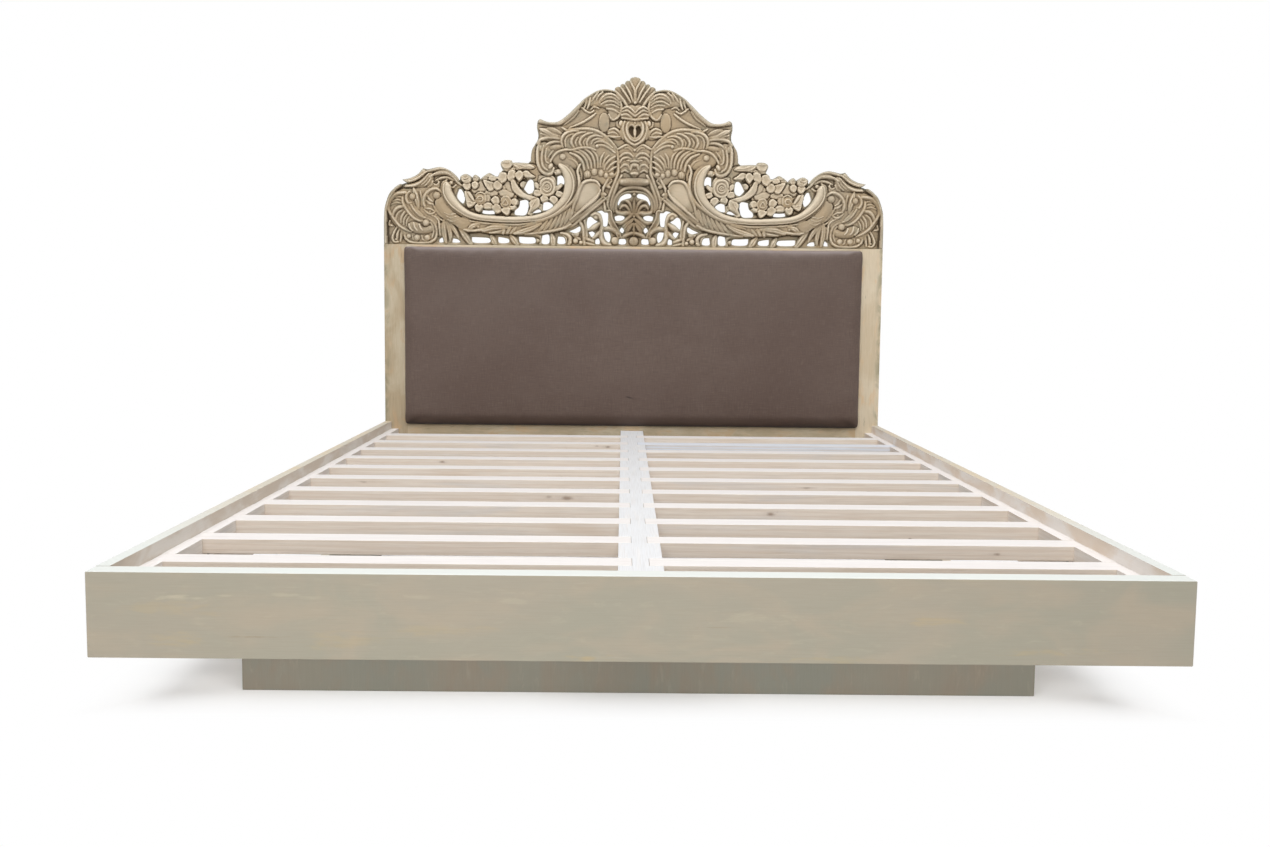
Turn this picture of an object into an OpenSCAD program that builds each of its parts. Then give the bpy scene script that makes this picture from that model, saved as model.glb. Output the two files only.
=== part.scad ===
// Platform bed frame with a pierced carved crest over an upholstered headboard.
// Millimetres. X runs across the bed, Y runs from the foot to the head, and Z is the height above the
// floor. The origin is on the floor below the middle of the bed.

/* [Platform] */
// Width over the side rails and over the headboard
bed_w = 1990; // [1700:10:2100]
// Length from the foot face to the front of the headboard
bed_l = 2080; // [1900:10:2180]
// Height of the foot rail and the side rails
rail_h = 158; // [140:2:200]
// Thickness of the foot rail
foot_rail_t = 35; // [28:1:45]
// Thickness of a side rail
side_rail_t = 25; // [20:1:32]

/* [Slat deck] */
// Drop from the top of the rails to the top of the slats
slat_drop = 30; // [20:1:40]
// Width of a slat
slat_w = 54; // [40:1:64]
// Thickness of a slat
slat_t = 32; // [20:1:34]
// Clear distance from the foot rail to the centre of the last slat
slat_margin = 162; // [100:2:180]
// Width of the ledge that carries the slat ends on a side rail
ledge_w = 28; // [22:1:40]
// Height of that ledge
ledge_h = 48; // [46:1:60]
// Width of the centre beam
beam_w = 90; // [76:2:110]
// Height of the centre beam
beam_h = 60; // [46:2:70]
// Length of a slat end inside the centre beam
beam_notch = 28; // [20:1:32]
// Thickness of a bearer under the deck
bearer_t = 40; // [30:1:50]

/* [Plinth] */
// Height of the plinth, which is also the height of the rails above the floor
plinth_h = 142; // [100:2:200]
// Distance from the outside of the rails in to the plinth, on all four sides
plinth_inset = 195; // [140:5:260]
// Thickness of a plinth board
plinth_t = 22; // [18:1:30]
// Side of a corner block
block_w = 48; // [40:1:60]

/* [Headboard] */
// Height of the posts, from the floor to the underside of the crest
post_h = 1010; // [900:5:1100]
// Width of a post
post_w = 90; // [70:1:110]
// Thickness of a post and of the rails between the posts
post_t = 45; // [40:1:60]
// Height of the rail under the crest
top_rail_h = 17; // [16:1:40]
// Thickness of the panel that closes the back
back_panel_t = 10; // [6:1:12]
// Thickness of the board that carries the cushion
cushion_board_t = 12; // [9:1:16]
// How far the cushion stands out in front of the posts
cushion_proud = 24; // [12:1:34]
// Radius of the rounded rim of the cushion
cushion_rim = 20; // [14:1:24]

/* [Crest] */
// Height of the crest from its foot to the tip of the shell
crest_h = 674; // [560:2:760]
// Thickness of the pierced ground
ground_t = 22; // [16:1:28]
// Rise of each of the three steps of the carving above the ground
carve_step = 9; // [5:1:10]

/* [Fasteners] */
// Diameter of a headboard bolt
bolt_d = 10; // [8:1:12]
// Diameter of a ledge screw
screw_d = 5; // [4:0.5:6]
// Diameter of a crest dowel
dowel_d = 12; // [8:1:14]
// Clearance round anything that passes through a hole or sits in a notch
fit = 0.5; // [0.3:0.1:1]

/* [Hidden] */
slat_count = 11;
bearer_count = 4;
soft_gap = 0.3;
cushion_side = 6;
cushion_crown = 0.05;
rim_steps = [0, 0.06, 0.22, 0.55, 1];
bolt_head_t = 7;
nut_t = 9;
bolt_end = 4;
thread_gap = 0.2;
dowel_l = 24;
curve_steps = 2;
ease = 0.2;
eps = 0.01;

// Planes across the bed, from the foot to the back of the headboard
foot_face = -(bed_l + post_t + bolt_head_t) / 2;
inner_y = foot_face + foot_rail_t;
inner_l = bed_l - foot_rail_t;
plinth_face = foot_face + plinth_inset;
plinth_l = bed_l - 2 * plinth_inset;
head_face = foot_face + bed_l;
post_back = head_face + post_t;
board_y = post_back - back_panel_t - cushion_board_t;

// Half widths and widths
inner_x = bed_w / 2 - side_rail_t;
plinth_w = bed_w - 2 * plinth_inset;
post_x = bed_w / 2 - post_w;
panel_w = 2 * post_x - 2 * fit;
dowel_x = bed_w / 2 - post_w / 2;
dowel_places = [-dowel_x, -dowel_x / 2, dowel_x / 2, dowel_x];

// Heights
rail_top = plinth_h + rail_h;
deck_top = rail_top - slat_drop;
beam_bottom = deck_top - beam_h;
bearer_h = beam_bottom - plinth_h;
block_h = deck_top - ledge_h - plinth_h;
bolt_rows = [plinth_h + 0.27 * block_h, plinth_h + 0.73 * block_h];
opening_bottom = rail_top - 2;
opening_h = post_h - top_rail_h - opening_bottom;

slat_l = inner_x - beam_w / 2 + beam_notch - 2 * fit;
slat_pitch = (inner_l - 2 * slat_margin) / (slat_count - 1);
cushion_t = board_y - soft_gap - head_face + cushion_proud;
cushion_w = panel_w - 2;
cushion_h = opening_h - 2;
screw_head_d = 2 * screw_d;
screw_l = ledge_w + side_rail_t * 0.6;

pine = [0.86, 0.83, 0.78];
greige = [0.70, 0.67, 0.59];
carved = [0.72, 0.65, 0.52];
fabric = [0.40, 0.34, 0.31];
steel = [0.55, 0.55, 0.56];

// The crest is drawn on a grid of 504 steps across the bed and 172 steps up to the tip of the shell.
// Its lists hold points of the left half as [steps from the centre line, steps up, width in steps].
grid_x = (bed_w - 2 * ease) / 504;
grid_z = (crest_h - 2 * ease) / 172;

function at(p) = [p[0] * grid_x, p[1] * grid_z];

function curve(a, b, c, d, t) =
    0.5 * (2 * b + (c - a) * t + (2 * a - 5 * b + 4 * c - d) * t * t + (3 * b - a - 3 * c + d) * t * t * t);

function smooth(p) = let (last = len(p) - 1) [
    for (i = [0:last - 1])
        for (k = [0:curve_steps - 1])
            curve(p[max(i - 1, 0)], p[i], p[i + 1], p[min(i + 2, last)], k / curve_steps),
    p[last]
];

function side(s, i) =
    let (a = at(s[max(i - 1, 0)]))
    let (b = at(s[min(i + 1, len(s) - 1)]))
    let (d = b - a)
    [-d[1], d[0]] / norm(d) * s[i][2] * grid_x / 2;

// A rib that follows smooth points, each with its own width
module rib(p) {
    s = smooth(p);
    last = len(s) - 1;
    polygon(concat(
        [for (i = [0:last]) at(s[i]) + side(s, i)],
        [for (i = [last:-1:0]) at(s[i]) - side(s, i)]
    ));
}

// A closed smooth field
module field(p) {
    s = smooth(concat(p, [p[0]]));
    polygon([for (i = [0:len(s) - 2]) at(s[i])]);
}

module bead(p) {
    translate(at(p)) circle(d = p[2] * grid_x, $fn = 14);
}

// Edge of the left half. A point that is given twice makes a sharp corner.
crest_edge = [
    // foot and rounded corner
    [0, 0], [0, 0], [252, 0], [252, 0], [252, 15], [251.8, 28], [251, 38], [247, 50], [241, 57], [235, 61],
    // leaf that lies on the corner
    [230, 62.5], [230, 62.5], [235, 66], [235, 66], [229, 66.5], [223, 69], [217, 73], [213.5, 77.5],
    [213.5, 77.5], [209, 76.5], [203, 77.5], [197, 78.5], [191, 77.5], [185, 74.5], [180, 70], [177, 65.5],
    // flower heads along the top of the window
    [177, 65.5], [174.5, 69.5], [170, 71.8], [166, 70.5], [163.5, 68], [163.5, 68], [161, 71], [157.5, 69.8],
    [155.5, 66.5], [155.5, 66.5], [151.5, 70], [146.5, 73], [142.5, 71.5], [139.5, 70], [136, 73],
    [132.5, 76], [132.5, 76], [134.7, 80], [134, 84], [130, 86], [124, 86], [124, 86], [123, 83.8],
    // tall scroll and its horn
    [117, 84], [111, 83.6], [107.5, 84], [104.8, 86], [104.8, 86], [104.5, 92], [103, 98.5], [98, 106],
    [98, 106], [97.2, 112], [98.5, 119], [98, 125], [95, 127.5], [90.5, 125.6], [85, 124.5], [79.5, 124.7],
    // slope up to the shell
    [75, 126.5], [69, 131], [63, 136.5], [57, 142.5], [51.5, 148], [45, 152.5], [37, 156.8], [29, 158],
    [20.5, 156.5], [20.5, 156.5],
    // scalloped edge of the shell
    [20.3, 159.5], [17.5, 161.2], [15.3, 160.5], [15.3, 160.5], [14.6, 163], [12.5, 164], [10.8, 163],
    [10.8, 163], [9.8, 166], [7.5, 167.3], [5.6, 166.6], [5.6, 166.6], [3.6, 170.2], [0, 172], [0, 172]
];

// Places where the carving is cut right through
window_gaps = [
    [[178, 57], [180, 50], [177, 45], [173, 42.5], [171.5, 47], [173, 53], [175.5, 57]],
    [[153.5, 36], [148, 35.6], [143, 35.6], [141, 32.4], [148, 31.8], [154, 33]],
    [[116, 46], [110, 47], [107, 44], [107.5, 38], [110, 31.5], [117, 31], [121, 32], [121, 36], [117, 40]],
    [[92, 44.4], [87, 45], [82, 41], [86, 37.5], [92, 36], [92.6, 40]],
    [[100, 36.4], [96.5, 37.4], [94, 35], [99, 33.6], [104, 33]],
    [[78, 71], [74, 72], [71, 68], [71, 62.5], [75, 64], [78, 62]],
    [[112, 58], [108, 66], [104, 67.5], [101.5, 63], [102, 55], [107, 53]]
];
foot_gaps = [
    [[198, 6], [195, 8], [193.6, 6], [193.6, 3], [198, 3]],
    [[184, 7], [179, 6], [176.5, 3], [184.5, 3]],
    [[165, 8.6], [156, 8.4], [147, 7.4], [146.4, 3], [163, 3]],
    [[138, 9], [132, 8.2], [127, 6.6], [127.4, 3], [137, 3]],
    [[117, 9.4], [108, 9], [101, 8.4], [100.4, 3], [115, 3]],
    [[93, 11], [86.4, 11.6], [86, 3], [93.6, 3]],
    [[77, 10], [71, 9], [69.6, 3], [77.4, 3]],
    [[66, 15.4], [60, 18], [55, 20.6], [54.4, 16], [59, 13.4]]
];
centre_gaps = [
    [[47, 29], [44, 30.6], [40, 27.4], [37, 25.4], [42, 22], [46.6, 18], [48, 24]],
    [[38, 35.6], [33, 37], [30, 35], [26.4, 34], [26.6, 24], [28, 20.6], [31, 21], [31.6, 27], [33.6, 33]],
    [[30.6, 15], [25.6, 15], [23.6, 10], [25, 4.6], [28.4, 7], [30, 11]],
    [[39, 7], [35.6, 8.4], [34.6, 3], [38.8, 3]],
    [[46, 14.6], [42, 15.6], [39.6, 13], [42.6, 9.6]],
    [[16.6, 45], [14, 50.6], [9, 53.8], [4, 54], [3, 50.4], [8, 48.4], [13, 46.4], [16, 42]],
    [[19.6, 31], [18.4, 26.6], [13, 26.6], [10, 28.4], [10, 31], [15, 32.2]],
    [[14.6, 8], [8.6, 8], [8.4, 3], [15, 3]],
    [[12.6, 20], [14.4, 16.6], [11.6, 14], [10, 16.6], [11, 19]],
    [[5.4, 121], [3, 120], [2.6, 116], [4, 111.6], [5.8, 114], [6, 118]]
];

// First step of the carving: the masses
masses = [
    // spiral cluster in the corner, and the leaf that lies on it
    [[249, 30], [249, 42], [244, 51], [236, 56], [222, 58], [210, 62], [200, 70], [190, 71], [184, 66],
     [192, 62], [196, 50], [200, 40], [196, 30], [197, 20], [199, 10], [206, 3], [220, 2], [232, 6],
     [238, 15], [244, 22]],
    [[234, 65.4], [226, 67.5], [219, 72], [213.4, 76.4], [210, 72.6], [216, 66.6], [224, 63], [231, 62.4]],
    // acanthus band below the window, rising into the feathers
    [[194, 28], [182, 30], [172, 28], [160, 22], [146, 19.6], [130, 18], [114, 18], [98, 21], [84, 27],
     [72, 35], [62, 46], [56, 58], [54, 70], [58, 82], [68, 92], [60, 98], [44, 99], [28, 96], [20, 86],
     [22, 70], [27, 52], [40, 40], [54, 28], [66, 20], [80, 16], [96, 14], [112, 12], [130, 12],
     [146, 13], [160, 15], [172, 14], [184, 18]],
    // tall scroll, feather fan, rolls beside the shell
    [[98, 82], [98.6, 96], [95, 106], [86, 110], [75, 109], [74, 101], [82, 96], [84, 88], [80, 76],
     [88, 71.6], [95, 75]],
    [[74.4, 100], [74, 112], [60, 118], [42, 117.6], [28, 110], [18, 98], [30, 96.6], [48, 99], [62, 97.4]],
    [[51, 144], [42, 152], [30, 156], [21, 154.4], [13, 146], [15, 137.4], [28, 140], [40, 139], [48, 138]],
    // bracket under the shell, frame of the heart, leaves above the arch
    [[26, 127], [20, 133], [12, 137], [-1, 136], [-1, 126], [10, 127], [18, 124]],
    [[14, 122], [12, 112], [8, 104], [-1, 101], [-1, 126], [6, 125]],
    [[18, 98], [8, 102], [-1, 99], [-1, 76], [8, 78], [17, 84]]
];

// Second step: the ribs
frame_ribs = [
    [[189, 60, 8], [188.6, 53, 9.6], [185, 46, 9.6], [180, 40, 8], [173, 34, 6.6], [165, 30, 6],
     [155, 27.5, 5.6], [140, 26, 6], [125, 25.6, 6.2], [110, 26, 6.2], [97, 28, 6.4], [86, 32, 6.6],
     [77, 38, 7.4], [70, 45, 8], [66, 53, 9], [64.6, 62, 9.4], [65.6, 70, 8.6], [69, 77, 7], [74, 81, 4]],
    [[184, 61, 2], [187, 65, 3], [184, 69, 3], [178, 65, 2.6], [172, 60, 2]],
    [[204, 73.6, 3], [196, 76, 3.6], [188, 74.6, 3.6], [181.6, 69, 2.6]],
    [[97, 123.6, 4], [88, 121.6, 5], [78, 122, 5], [69, 127, 6], [60, 135, 6], [52, 143.6, 5], [46, 149, 3]],
    [[66, 117, 3], [52, 117.8, 4], [40, 116, 5], [32, 112, 4.4], [25, 106, 2]]
];
corner_ribs = [
    [[231, 51.6, 3], [240, 50, 3], [246.6, 42, 2.6], [247, 35, 2.4], [243, 27, 2.2], [236, 18, 2.2],
     [227, 12.6, 2]],
    [[233, 47, 2.2], [233, 40, 2.4], [229, 32, 2.4], [222, 25.6, 2.2], [215, 23, 1.6]],
    [[224, 53.6, 2.2], [229.6, 49, 2.6], [228, 42, 2.6], [221, 33, 2.6], [211, 27.6, 1.8]],
    [[195, 53, 1.8], [201, 56.4, 2.6], [209, 52, 2.8], [213, 44, 2.8], [212, 36, 2]],
    [[226, 20, 4], [219, 14, 6.4], [210, 13.4, 5.4], [203.6, 18, 3]],
    [[232, 9, 2.4], [225, 2.8, 2.6], [213, 1.8, 2.4], [203, 5, 2.6], [199.4, 12, 2.8], [201, 20, 2.6],
     [209, 26, 1.8]],
    [[233, 39, 3], [240, 35, 3], [244, 29.6, 2]],
    [[232, 33.6, 2], [238, 28, 2.2], [240, 23, 1.6]],
    [[229, 31, 2], [233.6, 24, 2.2], [234, 18.6, 1.6]],
    [[203, 38, 1.8], [196, 30.4, 2.2], [187, 26.4, 2.2], [180, 29.6, 1.8]],
    [[192, 20, 2.4], [191.6, 10, 5], [190.6, 2.6, 3]],
    [[189, 21, 2], [184.6, 13, 3.4], [181, 6, 2.4]],
    [[179, 19, 5], [173, 10, 6], [168, 2.6, 4]],
    [[240, 17, 2.4], [243, 9, 3.6], [241, 3, 3]]
];
feather_ribs = [
    [[72.6, 100, 2.2], [73, 108, 2.6], [68, 113.6, 2.6], [58, 115.6, 2]],
    [[61, 99.6, 2.2], [63.6, 106, 2.6], [59, 112, 2.4], [52, 115, 1.8]],
    [[53, 101, 2.2], [55.4, 106, 2.6], [51, 111.6, 2.4], [44, 114.4, 1.8]],
    [[47, 101, 2.2], [47.6, 107, 2.4], [42, 111.6, 2.4], [35, 111.6, 1.8]],
    [[41, 106.6, 1.8], [34, 109, 2.4], [26, 104, 2.4], [19, 97.6, 1.8]],
    [[70, 96.8, 2], [58, 98, 2.6], [46, 99.6, 2.6], [38.6, 96.6, 2], [35, 92, 1.6]],
    [[66, 94.6, 2], [57, 91.6, 2.6], [50, 85, 2.6], [46.6, 77, 2]],
    [[61, 96, 2], [52, 93.6, 2.6], [45, 87, 2.6], [41.6, 79, 2]],
    [[50, 97, 2], [42, 93.6, 2.6], [38, 87, 2.4], [37.6, 80, 1.8]],
    [[66, 88.6, 2], [60, 86, 2.6], [55.4, 79, 2.6], [54, 69, 2.4], [54.6, 62, 2]],
    [[29.6, 95, 1.8], [32.6, 88, 2.2], [33, 80, 1.8]],
    [[20, 93, 1.8], [27, 87, 2.2], [30.6, 79, 1.8]],
    [[19, 86, 1.8], [25, 80.6, 2.2], [29.6, 74, 2]],
    [[13, 72, 2], [17, 64, 2.4], [20.6, 54, 2.6], [28, 45, 2.8], [38, 38.6, 3], [49, 30.6, 3], [60, 23, 2.8],
     [74, 17.8, 2.4], [90, 15.6, 2]],
    [[26, 68, 2], [30.6, 60, 2.4], [33, 50, 2.6], [42, 42, 2.6], [54, 34, 2.4], [64, 27, 1.8]],
    [[97.6, 104, 2.6], [97.6, 92, 3.4], [96.6, 81, 3], [91, 73.4, 2.8], [84, 73.4, 2.4], [81, 79, 2]],
    [[97, 106, 2.2], [90, 108.6, 2.8], [80, 108.4, 2.4], [74, 107.4, 1.8]]
];
slant_ribs = [for (k = [0:8]) [[72 + 5 * k, 29 - 1.3 * k, 1.6], [76 + 5 * k, 18 - 0.5 * k, 2.2]]];
centre_ribs = [
    // arch and the two curls inside it
    [[-1, 60.4, 2.8], [9, 59, 2.8], [16.6, 53, 2.8], [20.4, 45, 2.6], [20.6, 36, 2]],
    [[-1, 56.6, 1.6], [8, 55.6, 1.8], [14, 51.4, 1.8], [17.6, 44, 1.8], [18.4, 37, 2], [14.6, 34.4, 4],
     [9, 34.6, 5.4], [4, 33, 3]],
    [[13.6, 38.6, 1.4], [10.4, 41.6, 2.2], [6, 39, 2], [3, 33, 1.6]],
    [[16.6, 25, 2], [11, 24.6, 3.4], [6.6, 27.6, 3.4], [3, 32, 2.4]],
    [[13, 46, 1.6], [7, 46.4, 2.2], [2.4, 41, 2], [-1, 34, 2.4]],
    // palmette below them
    [[9, 17, 2.4], [6, 22.6, 3], [1.6, 28, 2]],
    [[11, 8.6, 2], [7, 12, 2.8], [0, 15, 2.4]],
    // straps at the sides
    [[24, 34, 3.4], [24.4, 27, 3.6], [21, 20, 2.8], [15.4, 14, 2.6], [13.4, 7, 2.4]],
    [[30.6, 17.6, 1.8], [24, 17.6, 4], [17, 12, 2.6]],
    [[42, 28, 3.6], [37.6, 31.6, 3.4], [33, 28, 3.4], [32, 20, 3.2], [34, 12, 3.2], [30.6, 4.6, 3.4], [24, 1.6, 2.4]],
    [[45, 17, 3.2], [39, 20.6, 4.8], [33.6, 24, 3]],
    [[40.6, 8.6, 2.6], [36, 12.6, 3.8], [33, 17, 2.4]],
    [[55, 25, 1.8], [51.6, 18, 2.6], [50.6, 10, 2.6], [50, 2.4, 2.4]],
    [[50, 24, 1.8], [47.6, 16, 2.2], [47.6, 6, 2.4]],
    [[62, 14, 2], [66.6, 11, 3], [66, 4, 3.4], [60, 2.6, 3]],
    [[110, 12, 2], [98, 11.4, 2.6], [93.8, 7, 2.6], [95, 2.6, 2.4]],
    [[82, 11, 3], [81.6, 2.4, 5]],
    [[143.6, 9.4, 2.4], [142, 2.4, 4.4]],
    [[123, 10, 2.4], [120.6, 5.4, 4], [118.6, 2.4, 3]],
    // smooth roll across the middle
    [[-1, 65, 5.6], [11, 65, 5]],
    // husks, heart and bracket
    [[14, 91, 1.6], [7, 93.4, 2.2], [-1, 92, 2]],
    [[15, 97.6, 1.6], [8, 101.6, 2.2], [3, 98.6, 2]],
    [[13.6, 85, 1.6], [9, 81, 2.2], [3, 83, 2]],
    [[10, 123, 1.8], [10.6, 115, 2.4], [7.4, 107, 2.2], [2, 102.4, 1.8]],
    [[25, 113, 1.8], [18, 116.4, 2.4], [13, 112, 2]],
    [[26, 130, 1.6], [21.6, 127, 2], [15, 133, 2.2], [14, 140, 2]],
    [[14, 130.6, 2], [7, 130.6, 2.4], [-1, 127.4, 2.4]],
    [[12, 138.6, 2], [6, 138.6, 2.2], [1, 134, 1.8]],
    [[47, 147, 1.8], [38, 152, 2.4], [28, 155, 2.4], [20, 152.6, 2.4], [13.6, 145.6, 2]],
    [[41, 144, 1.8], [32, 148, 2.4], [24, 147.6, 2.4], [17, 143, 2]],
    [[40, 137, 1.6], [28, 142, 2.2], [20, 140.6, 2.2], [15, 136, 1.8]]
];

// Third step: beads, volutes and the long cabochon
cabochon = [[34, 55], [33.6, 60], [37, 63.6], [43, 65], [49, 63.6], [52.4, 58.6], [54, 50], [57, 43],
            [58.6, 37], [54, 34], [47, 39], [40, 46], [35.6, 51]];
crest_beads = [
    [210.4, 22, 7], [223, 48.6, 7], [199.6, 50, 7.4], [184.6, 62.6, 4.4], [229, 7.4, 6], [219.6, 7, 6.6],
    [209.4, 6.6, 6.4], [206, 33.6, 4.6], [206, 66, 4], [204.6, 59.4, 3.6],
    [47, 73.4, 7.4], [41.4, 75, 6.6], [35, 75, 6.6], [29.6, 73, 5.6], [72, 90.6, 6.6], [76.4, 76, 6],
    [94.6, 98.6, 3.6], [92.6, 78.6, 4.6], [85.6, 80.4, 3.6], [37.6, 100.6, 3.4], [33.4, 53, 5],
    [14, 124, 4.4], [19, 6, 6.6], [55, 7, 4.6], [58, 12, 6.4], [80.4, 7, 5], [97.6, 5.4, 5], [157.6, 19, 4],
    [132, 14.6, 5], [125.6, 15.6, 3.4], [12, 76, 3.6]
];
centre_beads = [[0, 5.6, 8], [0, 145, 3.4], [0, 53, 3], [0, 24, 3], [0, 84, 4.6], [0, 96, 3.6]];

// Flower heads of the window: [from the centre line, up, outer radius of the petals, petals, turn]
flowers = [
    [156, 46, 10.5, 6, 15], [130, 42.5, 11, 6, 40], [88, 60, 13, 7, 10], [147, 62, 8.6, 5, 70],
    [124.6, 72, 12, 6, 5], [166, 64, 8, 5, 30]
];
// Leaves between the flower heads
leaf_ribs = [
    [[170, 53, 3], [167.6, 46, 6], [164, 39.6, 4]],
    [[155, 64, 2], [154, 57, 3.4], [148, 52.6, 4], [141, 51, 2]],
    [[120, 56, 2], [110, 52, 3.4], [101, 47.6, 4.6], [99, 42, 7], [103, 35, 3.6]],
    [[96, 42, 2.4], [92.6, 37.4, 4.4]],
    [[131, 81.6, 7.4], [124.6, 81, 6.6], [117, 80.4, 6.6], [109, 80, 5], [101, 81, 5]],
    [[112, 73, 4], [104, 73.6, 6.6], [97.6, 73, 5]],
    [[78, 57.6, 3], [73, 61.6, 3.6]],
    [[119, 47, 4.4], [117, 41, 3], [111, 49, 3]],
    [[139, 70, 4], [133.6, 66.6, 6]],
    [[122, 62, 5], [116, 56, 3]]
];

// Lobes of the shell, from the root to the tip
shell_lobes = [
    [[0, 143, 3], [0, 153, 6.3], [0, 167, 9]],
    [[1.1, 143, 3], [4.4, 153, 4.5], [7.4, 162.6, 6.4]],
    [[1.9, 143, 3], [7.4, 153, 3.9], [12.4, 159, 5.6]],
    [[2.6, 143, 3], [10.2, 153, 4.6], [17, 155.6, 6.6]]
];

module both_halves() {
    children();
    mirror([1, 0]) children();
}

module crest_ground() {
    difference() {
        field(crest_edge);
        for (gap = concat(window_gaps, foot_gaps, centre_gaps)) field(gap);
    }
}

module petals(f) {
    for (k = [0:f[3] - 1]) {
        turn = f[4] + 360 / f[3] * k;
        bead([f[0] + 0.64 * f[2] * cos(turn), f[1] + 0.64 * f[2] * sin(turn), 0.78 * f[2]]);
    }
}

module crest_masses() {
    for (mass = masses) field(mass);
    for (f = flowers) petals(f);
    for (leaf = leaf_ribs) rib(leaf);
    for (lobe = shell_lobes) rib(lobe);
}

module crest_ribs() {
    for (line = concat(frame_ribs, corner_ribs, feather_ribs, slant_ribs, centre_ribs)) rib(line);
    for (f = flowers) bead([f[0], f[1], 0.9 * f[2]]);
}

module crest_tops() {
    field(cabochon);
    for (b = crest_beads) bead(b);
    for (f = flowers) bead([f[0], f[1], 0.42 * f[2]]);
}

// One layer of the carving from the depth where it starts to the height of its face. The small offset
// eases the outlines and joins them into one.
module layer(start, height) {
    translate([0, post_back - start, post_h + ease]) rotate([90, 0, 0])
        linear_extrude(height - start) offset(delta = ease) both_halves() children();
}

module crest() {
    color(carved) difference() {
        union() {
            layer(0, ground_t) crest_ground();
            layer(0.6 * ground_t, ground_t + carve_step) crest_masses();
            layer(0.5 * ground_t, ground_t + 2 * carve_step) crest_ribs();
            layer(0.4 * ground_t, ground_t + 3 * carve_step) crest_tops();
        }
        dowel_holes();
    }
}

module dowel_holes() {
    for (x = dowel_places) translate([x, post_back - ground_t / 2, post_h - dowel_l / 2])
        cylinder(d = dowel_d + fit, h = dowel_l, $fn = 32);
}

// A board from its lowest corner and its size
module board(corner, size) {
    translate(corner) cube(size);
}

// Joinery of the platform

function slat_y(k) = inner_y + slat_margin + k * slat_pitch;

module foot_rail() {
    color(greige) board([-bed_w / 2, foot_face, plinth_h], [bed_w, foot_rail_t, rail_h]);
}

module side_rail_left() {
    color(greige) difference() {
        board([-bed_w / 2, inner_y, plinth_h], [side_rail_t, inner_l, rail_h]);
        for (k = [0:slat_count - 1]) ledge_screw_hole(k);
    }
}

module side_rail_right() {
    mirror([1, 0, 0]) side_rail_left();
}

// Axis of the screw under a slat, pointing from the ledge out into the side rail
module on_ledge_screw(k) {
    translate([-inner_x + ledge_w, slat_y(k), deck_top - slat_t - (ledge_h - slat_t) / 2])
        rotate([0, -90, 0]) children();
}

module ledge_screw_hole(k) {
    on_ledge_screw(k) translate([0, 0, -eps]) cylinder(d = screw_d + fit / 2, h = screw_l + 1, $fn = 24);
}

module ledge_left() {
    color(pine) difference() {
        board([-inner_x, inner_y, deck_top - ledge_h], [ledge_w, inner_l, ledge_h]);
        for (k = [0:slat_count - 1]) {
            board([-inner_x - eps, slat_y(k) - slat_w / 2 - fit, deck_top - slat_t],
                [ledge_w + 2 * eps, slat_w + 2 * fit, slat_t + eps]);
            ledge_screw_hole(k);
            on_ledge_screw(k) translate([0, 0, -eps]) screw_head(fit / 2);
        }
    }
}

module ledge_right() {
    mirror([1, 0, 0]) ledge_left();
}

module beam_notches() {
    for (k = [0:slat_count - 1]) {
        board([-beam_w / 2 - eps, slat_y(k) - slat_w / 2 - fit, deck_top - slat_t],
            [beam_notch + eps, slat_w + 2 * fit, slat_t + eps]);
    }
}

module centre_beam() {
    color(pine) difference() {
        board([-beam_w / 2, inner_y, beam_bottom], [beam_w, inner_l, beam_h]);
        beam_notches();
        mirror([1, 0, 0]) beam_notches();
    }
}

module slat(k) {
    color(pine) board([-inner_x + fit, slat_y(k) - slat_w / 2, deck_top - slat_t], [slat_l, slat_w, slat_t]);
}

function bearer_y(k) =
    let (first = plinth_face + (plinth_t - bearer_t) / 2)
    let (last = plinth_face + plinth_l - (plinth_t + bearer_t) / 2)
    first + (last - first) * k / (bearer_count - 1);

module bearer(k) {
    color(pine) board([-inner_x, bearer_y(k), plinth_h], [2 * inner_x, bearer_t, bearer_h]);
}

// Plinth

module plinth_front() {
    color(greige) board([-plinth_w / 2, plinth_face, 0], [plinth_w, plinth_t, plinth_h]);
}

module plinth_back() {
    translate([0, plinth_l - plinth_t, 0]) plinth_front();
}

module plinth_left() {
    color(greige) board([-plinth_w / 2, plinth_face + plinth_t, 0],
        [plinth_t, plinth_l - 2 * plinth_t, plinth_h]);
}

module plinth_right() {
    mirror([1, 0, 0]) plinth_left();
}

module plinth_centre() {
    color(pine) board([-plinth_t / 2, plinth_face + plinth_t, 0],
        [plinth_t, plinth_l - 2 * plinth_t, plinth_h]);
}

module plinth_blocks() {
    color(pine) for (x = [-1, 1]) {
        for (y = [plinth_face + plinth_t, plinth_face + plinth_l - plinth_t - block_w]) {
            board([x * (plinth_w / 2 - plinth_t - block_w / 2) - block_w / 2, y, 0],
                [block_w, block_w, plinth_h]);
        }
    }
}

// Blocks in the corners of the platform, below the ledges

module corner_block_foot_left() {
    color(pine) board([-inner_x, inner_y, plinth_h], [block_w, block_w, block_h]);
}

module corner_block_foot_right() {
    mirror([1, 0, 0]) corner_block_foot_left();
}

module corner_block_head_left() {
    color(pine) difference() {
        board([-inner_x, head_face - block_w, plinth_h], [block_w, block_w, block_h]);
        bolt_holes();
    }
}

module corner_block_head_right() {
    mirror([1, 0, 0]) corner_block_head_left();
}

// Headboard

module post_left() {
    color(greige) difference() {
        board([-bed_w / 2, head_face, 0], [post_w, post_t, post_h]);
        bolt_holes();
        dowel_holes();
    }
}

module post_right() {
    mirror([1, 0, 0]) post_left();
}

module top_rail() {
    color(greige) difference() {
        board([-post_x, head_face, post_h - top_rail_h], [2 * post_x, post_t, top_rail_h]);
        dowel_holes();
    }
}

module bottom_rail() {
    color(greige) board([-post_x, head_face, plinth_h], [2 * post_x, post_t, opening_bottom - plinth_h]);
}

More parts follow.
